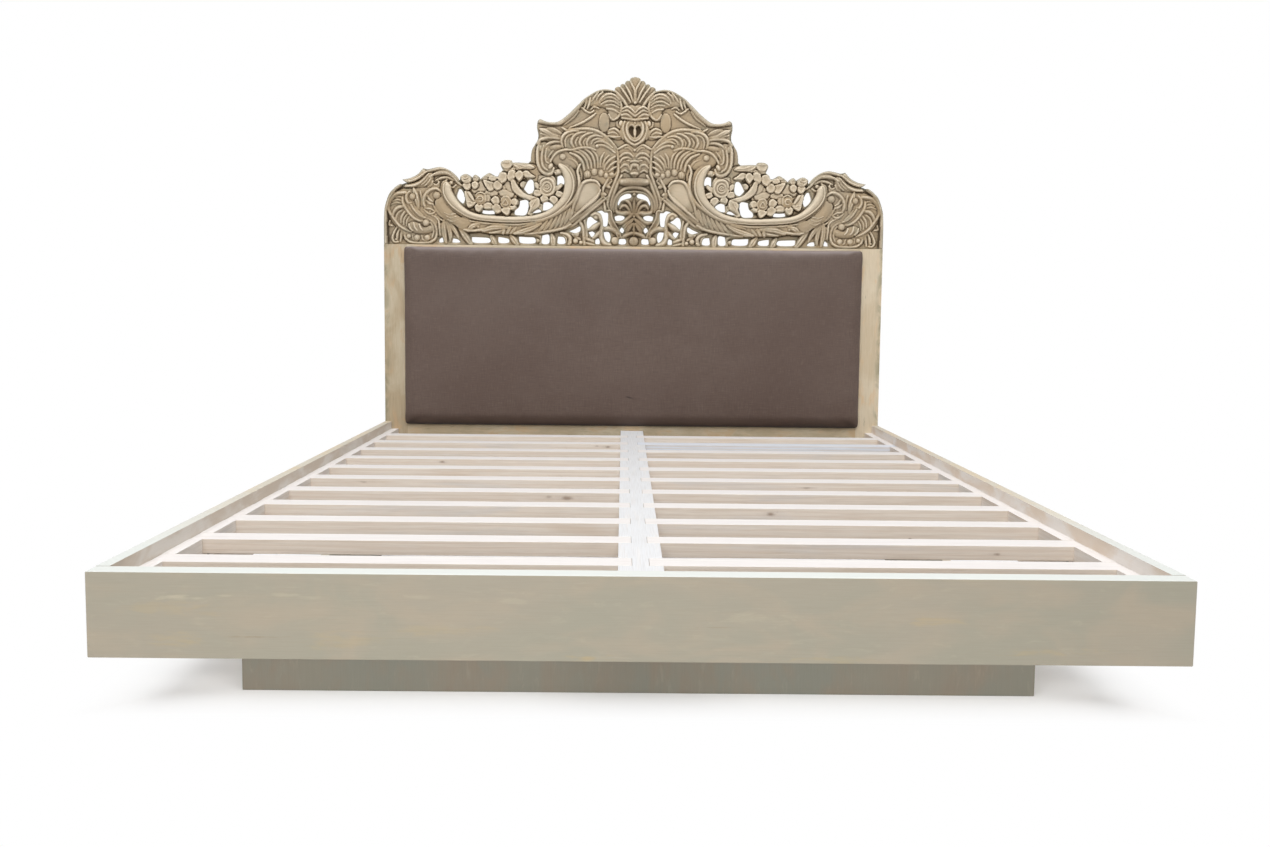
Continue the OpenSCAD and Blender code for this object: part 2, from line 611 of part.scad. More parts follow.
module back_panel() {
    color(pine) board([-panel_w / 2, post_back - back_panel_t, opening_bottom], [panel_w, back_panel_t, opening_h]);
}

module cushion_board() {
    color(pine) board([-panel_w / 2, board_y, opening_bottom], [panel_w, cushion_board_t, opening_h]);
}

// Cushion: a pad with a flat back, a rounded rim and a slightly crowned face

function stations(half, spans) = concat(
    [for (e = rim_steps) -half + e * cushion_rim],
    [for (k = [1:spans - 1]) (2 * k / spans - 1) * (half - cushion_rim)],
    [for (k = [len(rim_steps) - 1:-1:0]) half - rim_steps[k] * cushion_rim]
);

function rounded(distance) =
    distance >= cushion_rim ? 1 : sqrt(max(0, 1 - pow(1 - distance / cushion_rim, 2)));

function pad_height(x, z) =
    let (dome = 1 - cushion_crown * (pow(2 * x / cushion_w, 2) + pow(2 * z / cushion_h, 2)))
    let (edge = rounded(cushion_w / 2 - abs(x)) * rounded(cushion_h / 2 - abs(z)))
    cushion_side + (cushion_t - cushion_side) * edge * dome;

module cushion() {
    xs = stations(cushion_w / 2, 10);
    zs = stations(cushion_h / 2, 6);
    nx = len(xs);
    nz = len(zs);
    front = [for (z = zs) for (x = xs) [x, z, pad_height(x, z)]];
    ring = concat(
        [for (i = [0:nx - 2]) i],
        [for (j = [0:nz - 2]) j * nx + nx - 1],
        [for (i = [nx - 1:-1:1]) (nz - 1) * nx + i],
        [for (j = [nz - 1:-1:1]) j * nx]
    );
    back = concat([for (i = ring) [front[i][0], front[i][1], 0]], [[0, 0, 0]]);
    first = nx * nz;
    count = len(ring);
    faces = concat(
        [for (j = [0:nz - 2]) for (i = [0:nx - 2]) [j * nx + i, (j + 1) * nx + i, (j + 1) * nx + i + 1]],
        [for (j = [0:nz - 2]) for (i = [0:nx - 2]) [j * nx + i, (j + 1) * nx + i + 1, j * nx + i + 1]],
        [for (k = [0:count - 1]) [ring[k], ring[(k + 1) % count], first + (k + 1) % count]],
        [for (k = [0:count - 1]) [ring[k], first + (k + 1) % count, first + k]],
        [for (k = [0:count - 1]) [first + k, first + (k + 1) % count, first + count]]
    );
    color(fabric) translate([0, board_y - soft_gap, opening_bottom + opening_h / 2])
        rotate([90, 0, 0]) polyhedron(concat(front, back), faces);
}

// Fasteners

module on_bolts() {
    for (z = bolt_rows) translate([-inner_x + block_w / 2, post_back, z]) rotate([90, 0, 0]) children();
}

module bolt_holes() {
    on_bolts() translate([0, 0, -eps]) cylinder(d = bolt_d + fit, h = post_t + block_w + 2 * eps, $fn = 32);
}

module left_bolts() {
    on_bolts() {
        cylinder(d = bolt_d, h = post_t + block_w + nut_t + bolt_end, $fn = 32);
        translate([0, 0, -bolt_head_t]) cylinder(d = 1.8 * bolt_d, h = bolt_head_t, $fn = 6);
    }
}

module headboard_bolts() {
    color(steel) {
        left_bolts();
        mirror([1, 0, 0]) left_bolts();
    }
}

module left_nuts() {
    on_bolts() translate([0, 0, post_t + block_w]) difference() {
        cylinder(d = 1.8 * bolt_d, h = nut_t, $fn = 6);
        translate([0, 0, -eps]) cylinder(d = bolt_d + thread_gap, h = nut_t + 2 * eps, $fn = 32);
    }
}

module headboard_nuts() {
    color(steel) {
        left_nuts();
        mirror([1, 0, 0]) left_nuts();
    }
}

module screw_head(extra) {
    cylinder(d1 = screw_head_d + 2 * extra, d2 = screw_d + 2 * extra, h = screw_d / 2, $fn = 24);
}

module left_ledge_screws() {
    for (k = [0:slat_count - 1]) on_ledge_screw(k) {
        cylinder(d = screw_d, h = screw_l, $fn = 24);
        screw_head(0);
    }
}

module ledge_screws() {
    color(steel) {
        left_ledge_screws();
        mirror([1, 0, 0]) left_ledge_screws();
    }
}

module crest_dowels() {
    color(pine) for (x = dowel_places) {
        translate([x, post_back - ground_t / 2, post_h - dowel_l / 2 + fit])
            cylinder(d = dowel_d, h = dowel_l - 2 * fit, $fn = 32);
    }
}

function numbered(name, k) = str(name, k < 9 ? "_0" : "_", k + 1);

foot_rail();
side_rail_left();
side_rail_right();
ledge_left();
ledge_right();
centre_beam();
for (k = [0:slat_count - 1]) {
    slat(k);
    mirror([1, 0, 0]) slat(k);
}
for (k = [0:bearer_count - 1]) bearer(k);
plinth_front();
plinth_back();
plinth_left();
plinth_right();
plinth_centre();
plinth_blocks();
corner_block_foot_left();
corner_block_foot_right();
corner_block_head_left();
corner_block_head_right();
post_left();
post_right();
top_rail();
bottom_rail();
back_panel();
cushion_board();
cushion();
crest();
headboard_bolts();
headboard_nuts();
ledge_screws();
crest_dowels();
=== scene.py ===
"""Looks of a platform bed frame: washed boards, limed slats, an upholstered headboard and a carved crest."""

import math

import bpy
import numpy as np
from mathutils import Matrix, Vector
from mathutils.geometry import delaunay_2d_cdt


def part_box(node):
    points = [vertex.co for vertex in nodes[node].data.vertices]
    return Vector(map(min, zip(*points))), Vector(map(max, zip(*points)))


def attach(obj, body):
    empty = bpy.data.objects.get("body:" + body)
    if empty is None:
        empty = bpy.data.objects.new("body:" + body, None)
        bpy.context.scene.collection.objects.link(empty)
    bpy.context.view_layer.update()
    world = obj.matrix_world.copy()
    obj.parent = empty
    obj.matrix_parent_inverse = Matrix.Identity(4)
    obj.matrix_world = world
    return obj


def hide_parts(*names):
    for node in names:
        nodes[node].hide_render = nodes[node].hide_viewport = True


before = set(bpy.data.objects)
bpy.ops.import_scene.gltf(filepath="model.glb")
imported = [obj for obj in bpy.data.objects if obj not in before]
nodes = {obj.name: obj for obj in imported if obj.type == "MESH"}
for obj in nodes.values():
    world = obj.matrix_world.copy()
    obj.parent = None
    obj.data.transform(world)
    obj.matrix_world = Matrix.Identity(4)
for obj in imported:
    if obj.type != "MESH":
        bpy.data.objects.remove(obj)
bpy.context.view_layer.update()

MM = 0.001
WHITE = (1, 1, 1, 1)


# Node trees


def srgb(red, green, blue):
    """A colour written as 0 to 255 display values, as linear RGBA."""
    values = []
    for part in (red, green, blue):
        part /= 255
        values.append(part / 12.92 if part <= 0.04045 else ((part + 0.055) / 1.055) ** 2.4)
    return (*values, 1.0)


class Tree:
    """Short calls that build a node tree."""

    def __init__(self, tree):
        self.nodes = tree.nodes
        self.links = tree.links

    def feed(self, socket, value):
        if isinstance(value, bpy.types.NodeSocket):
            self.links.new(value, socket)
        else:
            socket.default_value = value

    def node(self, kind, **inputs):
        """A new node with the named inputs set or linked."""
        made = self.nodes.new(kind)
        for name, value in inputs.items():
            self.feed(made.inputs[name.replace("_", " ")], value)
        return made

    def sum(self, operation, first, second=0.0):
        made = self.nodes.new("ShaderNodeMath")
        made.operation = operation
        self.feed(made.inputs[0], first)
        self.feed(made.inputs[1], second)
        return made.outputs[0]

    def seen(self):
        """1 for rays from the camera and rays that metal or glass throws on, and 0 for the light itself."""
        rays = self.nodes.new("ShaderNodeLightPath").outputs
        direct = self.sum("MAXIMUM", rays["Is Camera Ray"], rays["Is Glossy Ray"])
        return self.sum("MAXIMUM", direct, rays["Is Transmission Ray"])

    def choose(self, factor, first, second):
        """The first shader where factor is 0, and the second where it is 1."""
        made = self.nodes.new("ShaderNodeMixShader")
        for socket, value in zip(made.inputs, (factor, first.outputs[0], second.outputs[0])):
            self.feed(socket, value)
        return made.outputs[0]


class Shade(Tree):
    """Short calls that build the node tree of one material."""

    def __init__(self, name):
        self.material = bpy.data.materials.new(name)
        self.material.use_nodes = True
        super().__init__(self.material.node_tree)
        self.shader = self.nodes["Principled BSDF"]
        self.place = self.nodes.new("ShaderNodeTexCoord").outputs["Object"]

    def space(self, scale, offset=(0, 0, 0)):
        """The frame's coordinates, scaled per axis."""
        made = self.node("ShaderNodeMapping", Vector=self.place, Scale=scale, Location=offset)
        return made.outputs["Vector"]

    def noise(self, vector, detail=3.0, rough=0.6, warp=0.0):
        made = self.node(
            "ShaderNodeTexNoise", Vector=vector, Scale=1.0, Detail=detail, Roughness=rough, Distortion=warp
        )
        return made.outputs["Fac"]

    def streaks(self, axis, across, stretch, offset, detail=3.0, rough=0.6, warp=0.0):
        """Noise that is drawn out along the grain of a board."""
        return self.noise(self.space(along(axis, across, stretch), offset), detail, rough, warp)

    def cells(self, scale):
        return self.node("ShaderNodeTexVoronoi", Vector=self.place, Scale=scale).outputs["Distance"]

    def wave(self, vector, scale, warp, detail, direction):
        made = self.node("ShaderNodeTexWave", Vector=vector, Scale=scale, Distortion=warp, Detail=detail)
        made.inputs["Detail Scale"].default_value = 1.4
        made.bands_direction = direction
        return made.outputs["Fac"]

    def span(self, value, low, high, start=0.0, end=1.0):
        """value between low and high, as a smooth step from start to end."""
        made = self.node(
            "ShaderNodeMapRange", Value=value, From_Min=low, From_Max=high, To_Min=start, To_Max=end
        )
        made.interpolation_type = "SMOOTHSTEP"
        return made.outputs["Result"]

    def mix(self, factor, first, second, blend="MIX"):
        made = self.nodes.new("ShaderNodeMix")
        made.data_type = "RGBA"
        made.blend_type = blend
        self.feed(made.inputs[0], factor)
        self.feed(made.inputs[6], first)
        self.feed(made.inputs[7], second)
        return made.outputs[2]

    def tint(self, colour, tone, value, low, high, strength=1.0, blend="MIX"):
        """Lays a tone over a colour, from nothing where value is low to strength where it is high."""
        return self.mix(self.span(value, low, high, 0.0, strength), colour, tone, blend)

    def grained(self, colour, grain, dark, strength, high=0.6):
        """Darkens a colour in the fine lines of the grain."""
        return self.mix(strength, colour, self.tint(dark, WHITE, grain, 0.3, high), "MULTIPLY")

    def parts(self, vector):
        return self.node("ShaderNodeSeparateXYZ", Vector=vector).outputs

    def facing(self):
        """The parts of the surface's direction: X, Y and Z."""
        return self.parts(self.nodes.new("ShaderNodeNewGeometry").outputs["Normal"])

    def attribute(self, name):
        made = self.nodes.new("ShaderNodeAttribute")
        made.attribute_name = name
        return made.outputs["Fac"]

    def bumps(self, *layers):
        """Layers of fine relief, from the lowest up: a pattern, its height in m and its strength."""
        normal = None
        for height, distance, strength in layers:
            made = self.node("ShaderNodeBump", Height=height, Distance=distance, Strength=strength)
            if normal is not None:
                self.feed(made.inputs["Normal"], normal)
            normal = made.outputs["Normal"]
        return normal

    def finish(self, colour, roughness, normal=None, **settings):
        self.feed(self.shader.inputs["Base Color"], colour)
        self.feed(self.shader.inputs["Roughness"], roughness)
        if normal is not None:
            self.feed(self.shader.inputs["Normal"], normal)
        for name, value in settings.items():
            self.shader.inputs[name.replace("_", " ")].default_value = value
        return self.material


def along(axis, across, stretch):
    """Scale per axis for a pattern that is stretched along the grain."""
    return tuple(across / stretch if name == axis else across for name in "XYZ")


def even(scale):
    """The same scale on all axes."""
    return (scale, scale, scale)


# Materials

WASH = srgb(164, 156, 140)
WASH_WARM = srgb(169, 158, 140)
WASH_COOL = srgb(160, 155, 139)
WASH_TOP_PAINTED_LIGHT = srgb(218, 221, 217)
WASH_GRAIN = srgb(222, 218, 210)
WASH_CREAM = srgb(198, 186, 163)
WASH_ORANGE = srgb(188, 165, 124)
WASH_SCRATCH = srgb(146, 132, 110)
RAIL_TOP_PAINTED_LIGHT = srgb(208, 201, 186)
RAIL_INSIDE = srgb(226, 211, 195), srgb(236, 230, 224)
RAIL_SHADED = srgb(208, 196, 182), srgb(222, 216, 208)
POST_CREAM = srgb(211, 197, 173)
POST_GRAIN = srgb(214, 207, 194)
LIME = srgb(228, 217, 205)
LIME_TAN = srgb(216, 199, 182)
LIME_GREY = srgb(212, 208, 205)
LIME_WHITE = srgb(236, 230, 224)
LIME_TOP_PAINTED_LIGHT = srgb(232, 228, 226)
LIME_BLUE = srgb(222, 226, 234)
LIME_GRAIN = srgb(218, 211, 204)
BEAM_TOP_PAINTED_LIGHT = srgb(224, 225, 227)
BEAM_SIDE = srgb(228, 228, 229)
KNOT = srgb(158, 138, 122)
KNOT_TAIL = srgb(196, 182, 172)
CLOTH = srgb(93, 76, 67)
CLOTH_DARK = srgb(85, 67, 58)
THREAD_PALE = srgb(109, 93, 82)
THREAD_DARK = srgb(66, 53, 47)
CLOTH_SCUFF = srgb(116, 100, 91)
CLOTH_TICK = srgb(48, 36, 32)
CLOTH_SHADED = srgb(226, 224, 222)
CLOTH_FOOT_PAINTED_SHADE = srgb(62, 44, 34)
RIM_PAINTED_SHEEN = srgb(152, 140, 138)
RIM_PAINTED_SHADE = srgb(34, 20, 11)
ZINC_DARK = srgb(150, 150, 148)
ZINC_PALE = srgb(190, 190, 186)
CARVED = srgb(158, 143, 120)
CARVED_TAN = srgb(166, 146, 117)
CARVED_WEAR_AND_HIGHLIGHT = srgb(214, 200, 177)
CARVED_GREEN = srgb(136, 131, 112)
CARVED_GLAZE_AND_SHADE = srgb(70, 56, 38)
CARVED_GRAIN = srgb(200, 192, 178)
CARVED_SHADED = srgb(204, 198, 190)

# Base, warm and cool tone of the wash on rails, and on the plinth, painted darker as painted shade
WASH_TONES = WASH, WASH_WARM, WASH_COOL
PLINTH_SHADED_TONES = srgb(146, 141, 127), srgb(148, 138, 123), srgb(141, 140, 128)

# Base, peach, cream and smudge of the wash on the headboard, its lower rail, painted darker as painted shade
# under the cushion, and its left post
HEAD_TONES = srgb(200, 183, 156), srgb(212, 184, 148), POST_CREAM, srgb(150, 144, 120)
LOW_RAIL_SHADED_TONES = srgb(188, 171, 143), srgb(196, 169, 134), srgb(200, 186, 161), srgb(136, 129, 104)
LEFT_POST_TONES = srgb(175, 158, 131), srgb(186, 159, 126), srgb(190, 177, 153), srgb(136, 130, 106)

# Places in m in the frame. From the first to the second, the tops of the rails, painted paler as painted
# top light, turn from their colour at the foot to that at the head.
TOPS = -1.0, -0.2

# Strip of smudges along the outer edge of a post
SMUDGE_STRIP = 0.03

# Heights between which the cushion is painted darker towards its top, and towards its foot, as painted shade
DARKER_UP = 0.55, 0.98
DARKER_DOWN = 0.345, 0.318

# Centre and half size of the small scuff on the cushion, of the worn boss on each half of the crest and
# of the crest's shaded middle
SCUFF = (-0.012, 0.405), (0.016, 0.0035)
BOSS = (0.183, 1.205), (0.05, 0.06)
MIDDLE = (0, 1.14), (0.10, 0.14)

# Marks on the foot rail: colour, place along and height of the centre, half length, half height, strength
FOOT_MARKS = [
    (WASH_CREAM, -0.842, 0.2545, 0.030, 0.0040, 0.50),
    (WASH_CREAM, -0.795, 0.2530, 0.024, 0.0030, 0.38),
    (WASH_CREAM, -0.744, 0.2575, 0.018, 0.0026, 0.34),
    (WASH_CREAM, -0.640, 0.2600, 0.026, 0.0036, 0.24),
    (WASH_CREAM, -0.590, 0.2560, 0.018, 0.0034, 0.22),
    (WASH_CREAM, -0.405, 0.2595, 0.020, 0.0034, 0.22),
    (WASH_CREAM, -0.231, 0.2540, 0.024, 0.0060, 0.18),
    (WASH_CREAM, 0.205, 0.2250, 0.050, 0.0080, 0.20),
    (WASH_ORANGE, -0.850, 0.2350, 0.070, 0.0120, 0.20),
    (WASH_ORANGE, -0.837, 0.1760, 0.044, 0.0120, 0.30),
    (WASH_ORANGE, -0.530, 0.1770, 0.060, 0.0110, 0.22),
    (WASH_ORANGE, -0.351, 0.1990, 0.060, 0.0090, 0.20),
    (WASH_ORANGE, -0.081, 0.1500, 0.040, 0.0065, 0.55),
    (WASH_ORANGE, 0.340, 0.1500, 0.070, 0.0070, 0.26),
    (WASH_ORANGE, 0.529, 0.2245, 0.032, 0.0080, 0.34),
    (WASH_ORANGE, 0.715, 0.1670, 0.070, 0.0060, 0.28),
    (WASH_SCRATCH, -0.693, 0.1830, 0.036, 0.0012, 0.60),
    (WASH_SCRATCH, 0.135, 0.2070, 0.030, 0.0010, 0.40),
]


def ring(s, across, high, centre, size):
    """Distance from the centre of an ellipse: 0 in the middle and 1 at its rim."""
    dx = s.sum("DIVIDE", s.sum("SUBTRACT", across, centre[0]), size[0])
    dz = s.sum("DIVIDE", s.sum("SUBTRACT", high, centre[1]), size[1])
    return s.sum("POWER", s.sum("ADD", s.sum("MULTIPLY", dx, dx), s.sum("MULTIPLY", dz, dz)), 0.5)


def centred(s, pattern, strength):
    """A noise moved to lie around 0."""
    return s.sum("MULTIPLY", s.sum("SUBTRACT", pattern, 0.5), strength)


def washed(name, axis, tones, seed, inside=None, marks=()):
    """Board under a thin smooth wash: soft clouds of three tones along the grain, with tops painted paler as
    painted top light.
    """
    s = Shade(name)
    base, warm, cool = tones
    offset = (seed, seed * 0.7, seed * 0.3)
    drift = s.streaks(axis, 5.0, 1.6, offset, 3.0, 0.5, 0.3)
    cloud = s.streaks(axis, 15.0, 2.4, offset, 4.0, 0.55, 0.6)
    brush = s.streaks(axis, 85.0, 4.0, offset, 4.0, 0.6, 0.5)
    grain = s.streaks(axis, 620.0, 40.0, offset)
    colour = s.tint(cool, base, drift, 0.36, 0.64)
    colour = s.tint(colour, warm, cloud, 0.40, 0.68)
    colour = s.tint(colour, WASH_CREAM, brush, 0.56, 0.78, 0.14)
    across, deep, high = s.parts(s.place)
    facing, _, upward = s.facing()
    for tone, x, z, length, width, strength in marks:
        spot = s.sum("ADD", ring(s, across, high, (x, z), (length, width)), centred(s, brush, 5.0))
        colour = s.tint(colour, tone, spot, 1.5, 0.0, strength)
    if inside is not None:
        inward = s.sum("MULTIPLY", facing, s.sum("SIGN", across))
        colour = s.tint(colour, s.tint(*inside, cloud, 0.40, 0.62), inward, -0.4, -0.6)
    # Painted top light: faces that look up are painted paler and greyer, in a tone that changes from foot to
    # head
    far_top_painted_light = s.tint(RAIL_TOP_PAINTED_LIGHT, POST_CREAM, cloud, 0.42, 0.62)
    top = s.tint(WASH_TOP_PAINTED_LIGHT, far_top_painted_light, deep, *TOPS)
    colour = s.tint(colour, top, upward, 0.4, 0.8)
    colour = s.grained(colour, grain, WASH_GRAIN, 0.12)
    rough = s.span(s.sum("ADD", cloud, brush), 0.7, 1.4, 0.68, 0.56)
    surface = s.bumps((grain, 0.0002, 0.25), (brush, 0.0006, 0.25))
    return s.finish(colour, rough, surface, Specular_IOR_Level=0.3)


def rubbed(name, axis, tones, seed, outer=0.0):
    """Distressed wash on the headboard: peach and cream patches, grey-green smudges and thin cracks along the
    grain. On a post, the smudges lie along its outer edge, which is at outer."""
    s = Shade(name)
    base, warm, pale, smudge = tones
    offset = (seed, seed * 0.7, seed * 0.3)
    drift = s.streaks(axis, 9.0, 1.8, offset, 4.0, 0.55, 0.4)
    cloud = s.streaks(axis, 26.0, 2.6, offset, 4.0, 0.6, 0.5)
    brush = s.streaks(axis, 120.0, 10.0, offset, 4.0, 0.6, 0.3)
    grain = s.streaks(axis, 560.0, 40.0, offset)
    colour = s.tint(base, pale, drift, 0.42, 0.62)
    colour = s.tint(colour, warm, cloud, 0.52, 0.68, 0.8)
    colour = s.tint(colour, pale, brush, 0.52, 0.78, 0.5)
    across = s.parts(s.place)[0]
    edge = s.span(s.sum("ABSOLUTE", across), outer - SMUDGE_STRIP, outer) if outer else 0.25
    smudged = s.sum("MULTIPLY", s.span(cloud, 0.56, 0.38, 0.0, 0.85), edge)
    colour = s.mix(smudged, colour, smudge)
    crack = s.span(brush, 0.36, 0.28)
    colour = s.mix(s.sum("MULTIPLY", crack, 0.55), colour, smudge)
    colour = s.grained(colour, grain, POST_GRAIN, 0.3)
    rough = s.span(s.sum("ADD", cloud, brush), 0.7, 1.4, 0.68, 0.56)
    surface = s.bumps((grain, 0.0004, 0.4), (brush, 0.0010, 0.5), (crack, -0.0008, 0.5))
    return s.finish(colour, rough, surface, Specular_IOR_Level=0.3)


def limed(name, axis, seed, tone=0.0, knots=(), top=LIME_TOP_PAINTED_LIGHT, front=LIME):
    """Limed pine: faint growth rings drawn out along the board, rubbed whitewash and a few knots, with tops
    painted in the top tone as painted top light.
    """
    s = Shade(name)
    offset = (seed * 1.7, seed, seed * 0.6)
    growth = s.wave(s.space(along(axis, 26.0, 26.0), offset), 1.0, 7.0, 3.0, "Z" if axis == "X" else "X")
    fine = s.streaks(axis, 520.0, 50.0, offset)
    cloud = s.streaks(axis, 16.0, 8.0, offset, 4.0, 0.55, 0.5)
    rub = s.streaks(axis, 90.0, 14.0, offset, 4.0, 0.6, 0.4)
    colour = s.tint(front, LIME_TAN, growth, 0.45, 0.95, 0.4)
    colour = s.tint(colour, LIME_TAN, cloud, 0.5, 0.72, 0.45 + tone)
    colour = s.tint(colour, LIME_GREY, cloud, 0.46, 0.30, 0.6)
    colour = s.tint(colour, LIME_WHITE, rub, 0.52, 0.76, 0.4)
    across, _, high = s.parts(s.place)
    wobble = s.noise(s.space((55, 55, 90), offset), 4.0, 0.6, 0.6)
    for centre, (half_x, half_z), strength in knots:
        spot = s.sum("ADD", ring(s, across, high, centre, (half_x, half_z)), wobble)
        tail = s.sum("ADD", ring(s, across, high, centre, (3.2 * half_x, 1.3 * half_z)), wobble)
        tail = s.sum("MULTIPLY", s.span(tail, 1.5, 0.5), s.span(rub, 0.40, 0.62, 0.15, 0.75 * strength))
        colour = s.mix(tail, colour, KNOT_TAIL)
        colour = s.tint(colour, KNOT, spot, 1.5, 0.5, 0.85 * strength)
    upward = s.facing()[2]
    # Painted top light: faces that look up take the paler, greyer top tone
    colour = s.tint(colour, s.tint(top, LIME_WHITE, rub, 0.5, 0.72, 0.3), upward, 0.4, 0.8)
    colour = s.grained(colour, fine, LIME_GRAIN, 0.3)
    rough = s.span(s.sum("ADD", cloud, rub), 0.7, 1.4, 0.74, 0.62)
    surface = s.bumps((fine, 0.0004, 0.4), (rub, 0.0007, 0.35), (growth, -0.0005, 0.25))
    return s.finish(colour, rough, surface, Specular_IOR_Level=0.25)


def leather(name):
    """Brown leatherette with a fine linen-like emboss, faint clouds and a soft sheen. It is painted darker
    towards its top and its foot and where its rim faces down, as painted shade, and greyer where the rim
    faces up, as a painted sheen."""
    s = Shade(name)
    across = s.wave(s.place, 260.0, 1.2, 2.0, "X")
    above = s.wave(s.place, 260.0, 1.2, 2.0, "Z")
    pores = s.cells(620.0)
    cloud = s.noise(s.space((2.2, 2.2, 3.0)), 5.0, 0.6, 0.3)
    threads = s.sum("ADD", s.noise(s.space((26, 420, 420))), s.noise(s.space((420, 420, 26))))
    scuff = s.noise(s.space(even(20)), 5.0, 0.65)
    colour = s.tint(CLOTH_DARK, CLOTH, cloud, 0.34, 0.70)
    colour = s.tint(colour, THREAD_PALE, threads, 1.0, 1.35, 0.5)
    colour = s.tint(colour, THREAD_DARK, threads, 0.98, 0.72, 0.4)
    colour = s.tint(colour, CLOTH_SCUFF, scuff, 0.56, 0.78, 0.15)
    x, _, z = s.parts(s.place)
    # Painted shade: darker towards the top and towards the foot
    colour = s.tint(colour, CLOTH_SHADED, z, *DARKER_UP, 0.5, "MULTIPLY")
    colour = s.tint(colour, CLOTH_FOOT_PAINTED_SHADE, z, *DARKER_DOWN, 0.6)
    upward = s.facing()[2]
    # Painted sheen where the rim faces up, and painted shade where it faces down
    colour = s.tint(colour, RIM_PAINTED_SHEEN, upward, 0.12, 0.6, 0.6)
    colour = s.tint(colour, RIM_PAINTED_SHADE, upward, -0.12, -0.6, 0.9)
    slanted = s.sum("ADD", z, s.sum("MULTIPLY", x, 0.2))
    colour = s.tint(colour, CLOTH_TICK, ring(s, x, slanted, *SCUFF), 1.2, 0.5, 0.8)
    weave = s.sum("ADD", s.sum("MULTIPLY", across, 0.5), s.sum("MULTIPLY", above, 0.5))
    rough = s.span(scuff, 0.3, 0.7, 0.44, 0.54)
    surface = s.bumps((weave, 0.0004, 0.35), (pores, 0.0005, 0.3), (threads, 0.0006, 0.3))
    sheen = {"Sheen_Weight": 0.2, "Sheen_Roughness": 0.4}
    return s.finish(colour, rough, surface, Specular_IOR_Level=0.45, **sheen)


def zinc(name):
    """Zinc-plated steel of the bolts, nuts and screws."""
    s = Shade(name)
    spangle = s.noise(s.space(even(160)))
    colour = s.tint(ZINC_DARK, ZINC_PALE, spangle, 0.35, 0.65)
    rough = s.span(spangle, 0.3, 0.7, 0.32, 0.5)
    return s.finish(colour, rough, s.bumps((spangle, 0.0003, 0.4)), Metallic=1.0)


def carved_wood(name):
    """Antiqued wash on the carving: ridges pale from wear and as painted highlight, hollows brown from glaze
    and as painted shade, and grey-green edges.
    """
    s = Shade(name)
    hollow = s.attribute("hollow")
    drift = s.noise(s.space(even(4.5)), 4.0, 0.55, 0.4)
    patch = s.noise(s.space(even(17), (3, 1, 2)), 4.0, 0.6, 0.5)
    speck = s.noise(s.space(even(140)), 4.0, 0.65)
    grain = s.noise(s.space((40, 300, 420)))
    broken = s.sum("ADD", hollow, centred(s, speck, 1.2))
    colour = s.tint(CARVED, CARVED_TAN, drift, 0.40, 0.62)
    colour = s.tint(colour, CARVED_GREEN, patch, 0.52, 0.70, 0.55)
    # Ridges painted pale, partly wear and partly painted highlight; hollows painted brown, partly glaze and
    # partly painted shade
    colour = s.tint(colour, CARVED_WEAR_AND_HIGHLIGHT, broken, 0.25, 1.4, 0.95)
    colour = s.tint(colour, CARVED_GLAZE_AND_SHADE, broken, 0.15, -1.5, 0.95)
    worn = s.sum("MULTIPLY", s.attribute("worn"), s.span(hollow, -0.9, 0.3, 0.1, 0.6))
    colour = s.mix(worn, colour, CARVED_WEAR_AND_HIGHLIGHT)
    x, _, z = s.parts(s.place)
    x = s.sum("ABSOLUTE", x)
    colour = s.tint(colour, CARVED_WEAR_AND_HIGHLIGHT, ring(s, x, z, *BOSS), 1.1, 0.5, 0.45)
    colour = s.tint(colour, CARVED_SHADED, ring(s, x, z, *MIDDLE), 1.3, 0.6, 0.8, "MULTIPLY")
    edge = s.span(s.attribute("rim"), 3.4, 0.4, 0.0, 0.65)
    edge = s.sum("MULTIPLY", edge, s.span(patch, 0.3, 0.55, 0.3, 0.9))
    colour = s.mix(edge, colour, CARVED_GREEN)
    colour = s.grained(colour, grain, CARVED_GRAIN, 0.15, 0.62)
    rough = s.span(hollow, -0.8, 1.0, 0.78, 0.56)
    surface = s.bumps((grain, 0.0003, 0.2), (speck, 0.0008, 0.35), (patch, 0.003, 0.25))
    return s.finish(colour, rough, surface, Specular_IOR_Level=0.35)


def dress(names, material):
    """Gives CAD nodes a material."""
    for name in names:
        piece = nodes[name]
        if not piece.material_slots:
            piece.data.materials.append(material)
        for slot in piece.material_slots:
            slot.material = material


def ease_edges(names, radius):
    """Rounds the sharp edges of CAD nodes, to a radius in m."""
    for name in names:
        weld = nodes[name].modifiers.new("weld", "WELD")
        weld.merge_threshold = 1e-5
        bevel = nodes[name].modifiers.new("ease", "BEVEL")
        bevel.width = radius
        bevel.segments = 3
        bevel.limit_method = "ANGLE"
        bevel.angle_limit = math.radians(40)
        bevel.harden_normals = True


def starting(text):
    """Names of the CAD nodes that start with a text, in order."""
    return sorted(name for name in nodes if name.startswith(text))


slats = starting("slat_")
post_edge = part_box("post_right")[1].x

dress(["foot_rail"], washed("wash_foot", "X", WASH_TONES, 3.1, None, FOOT_MARKS))
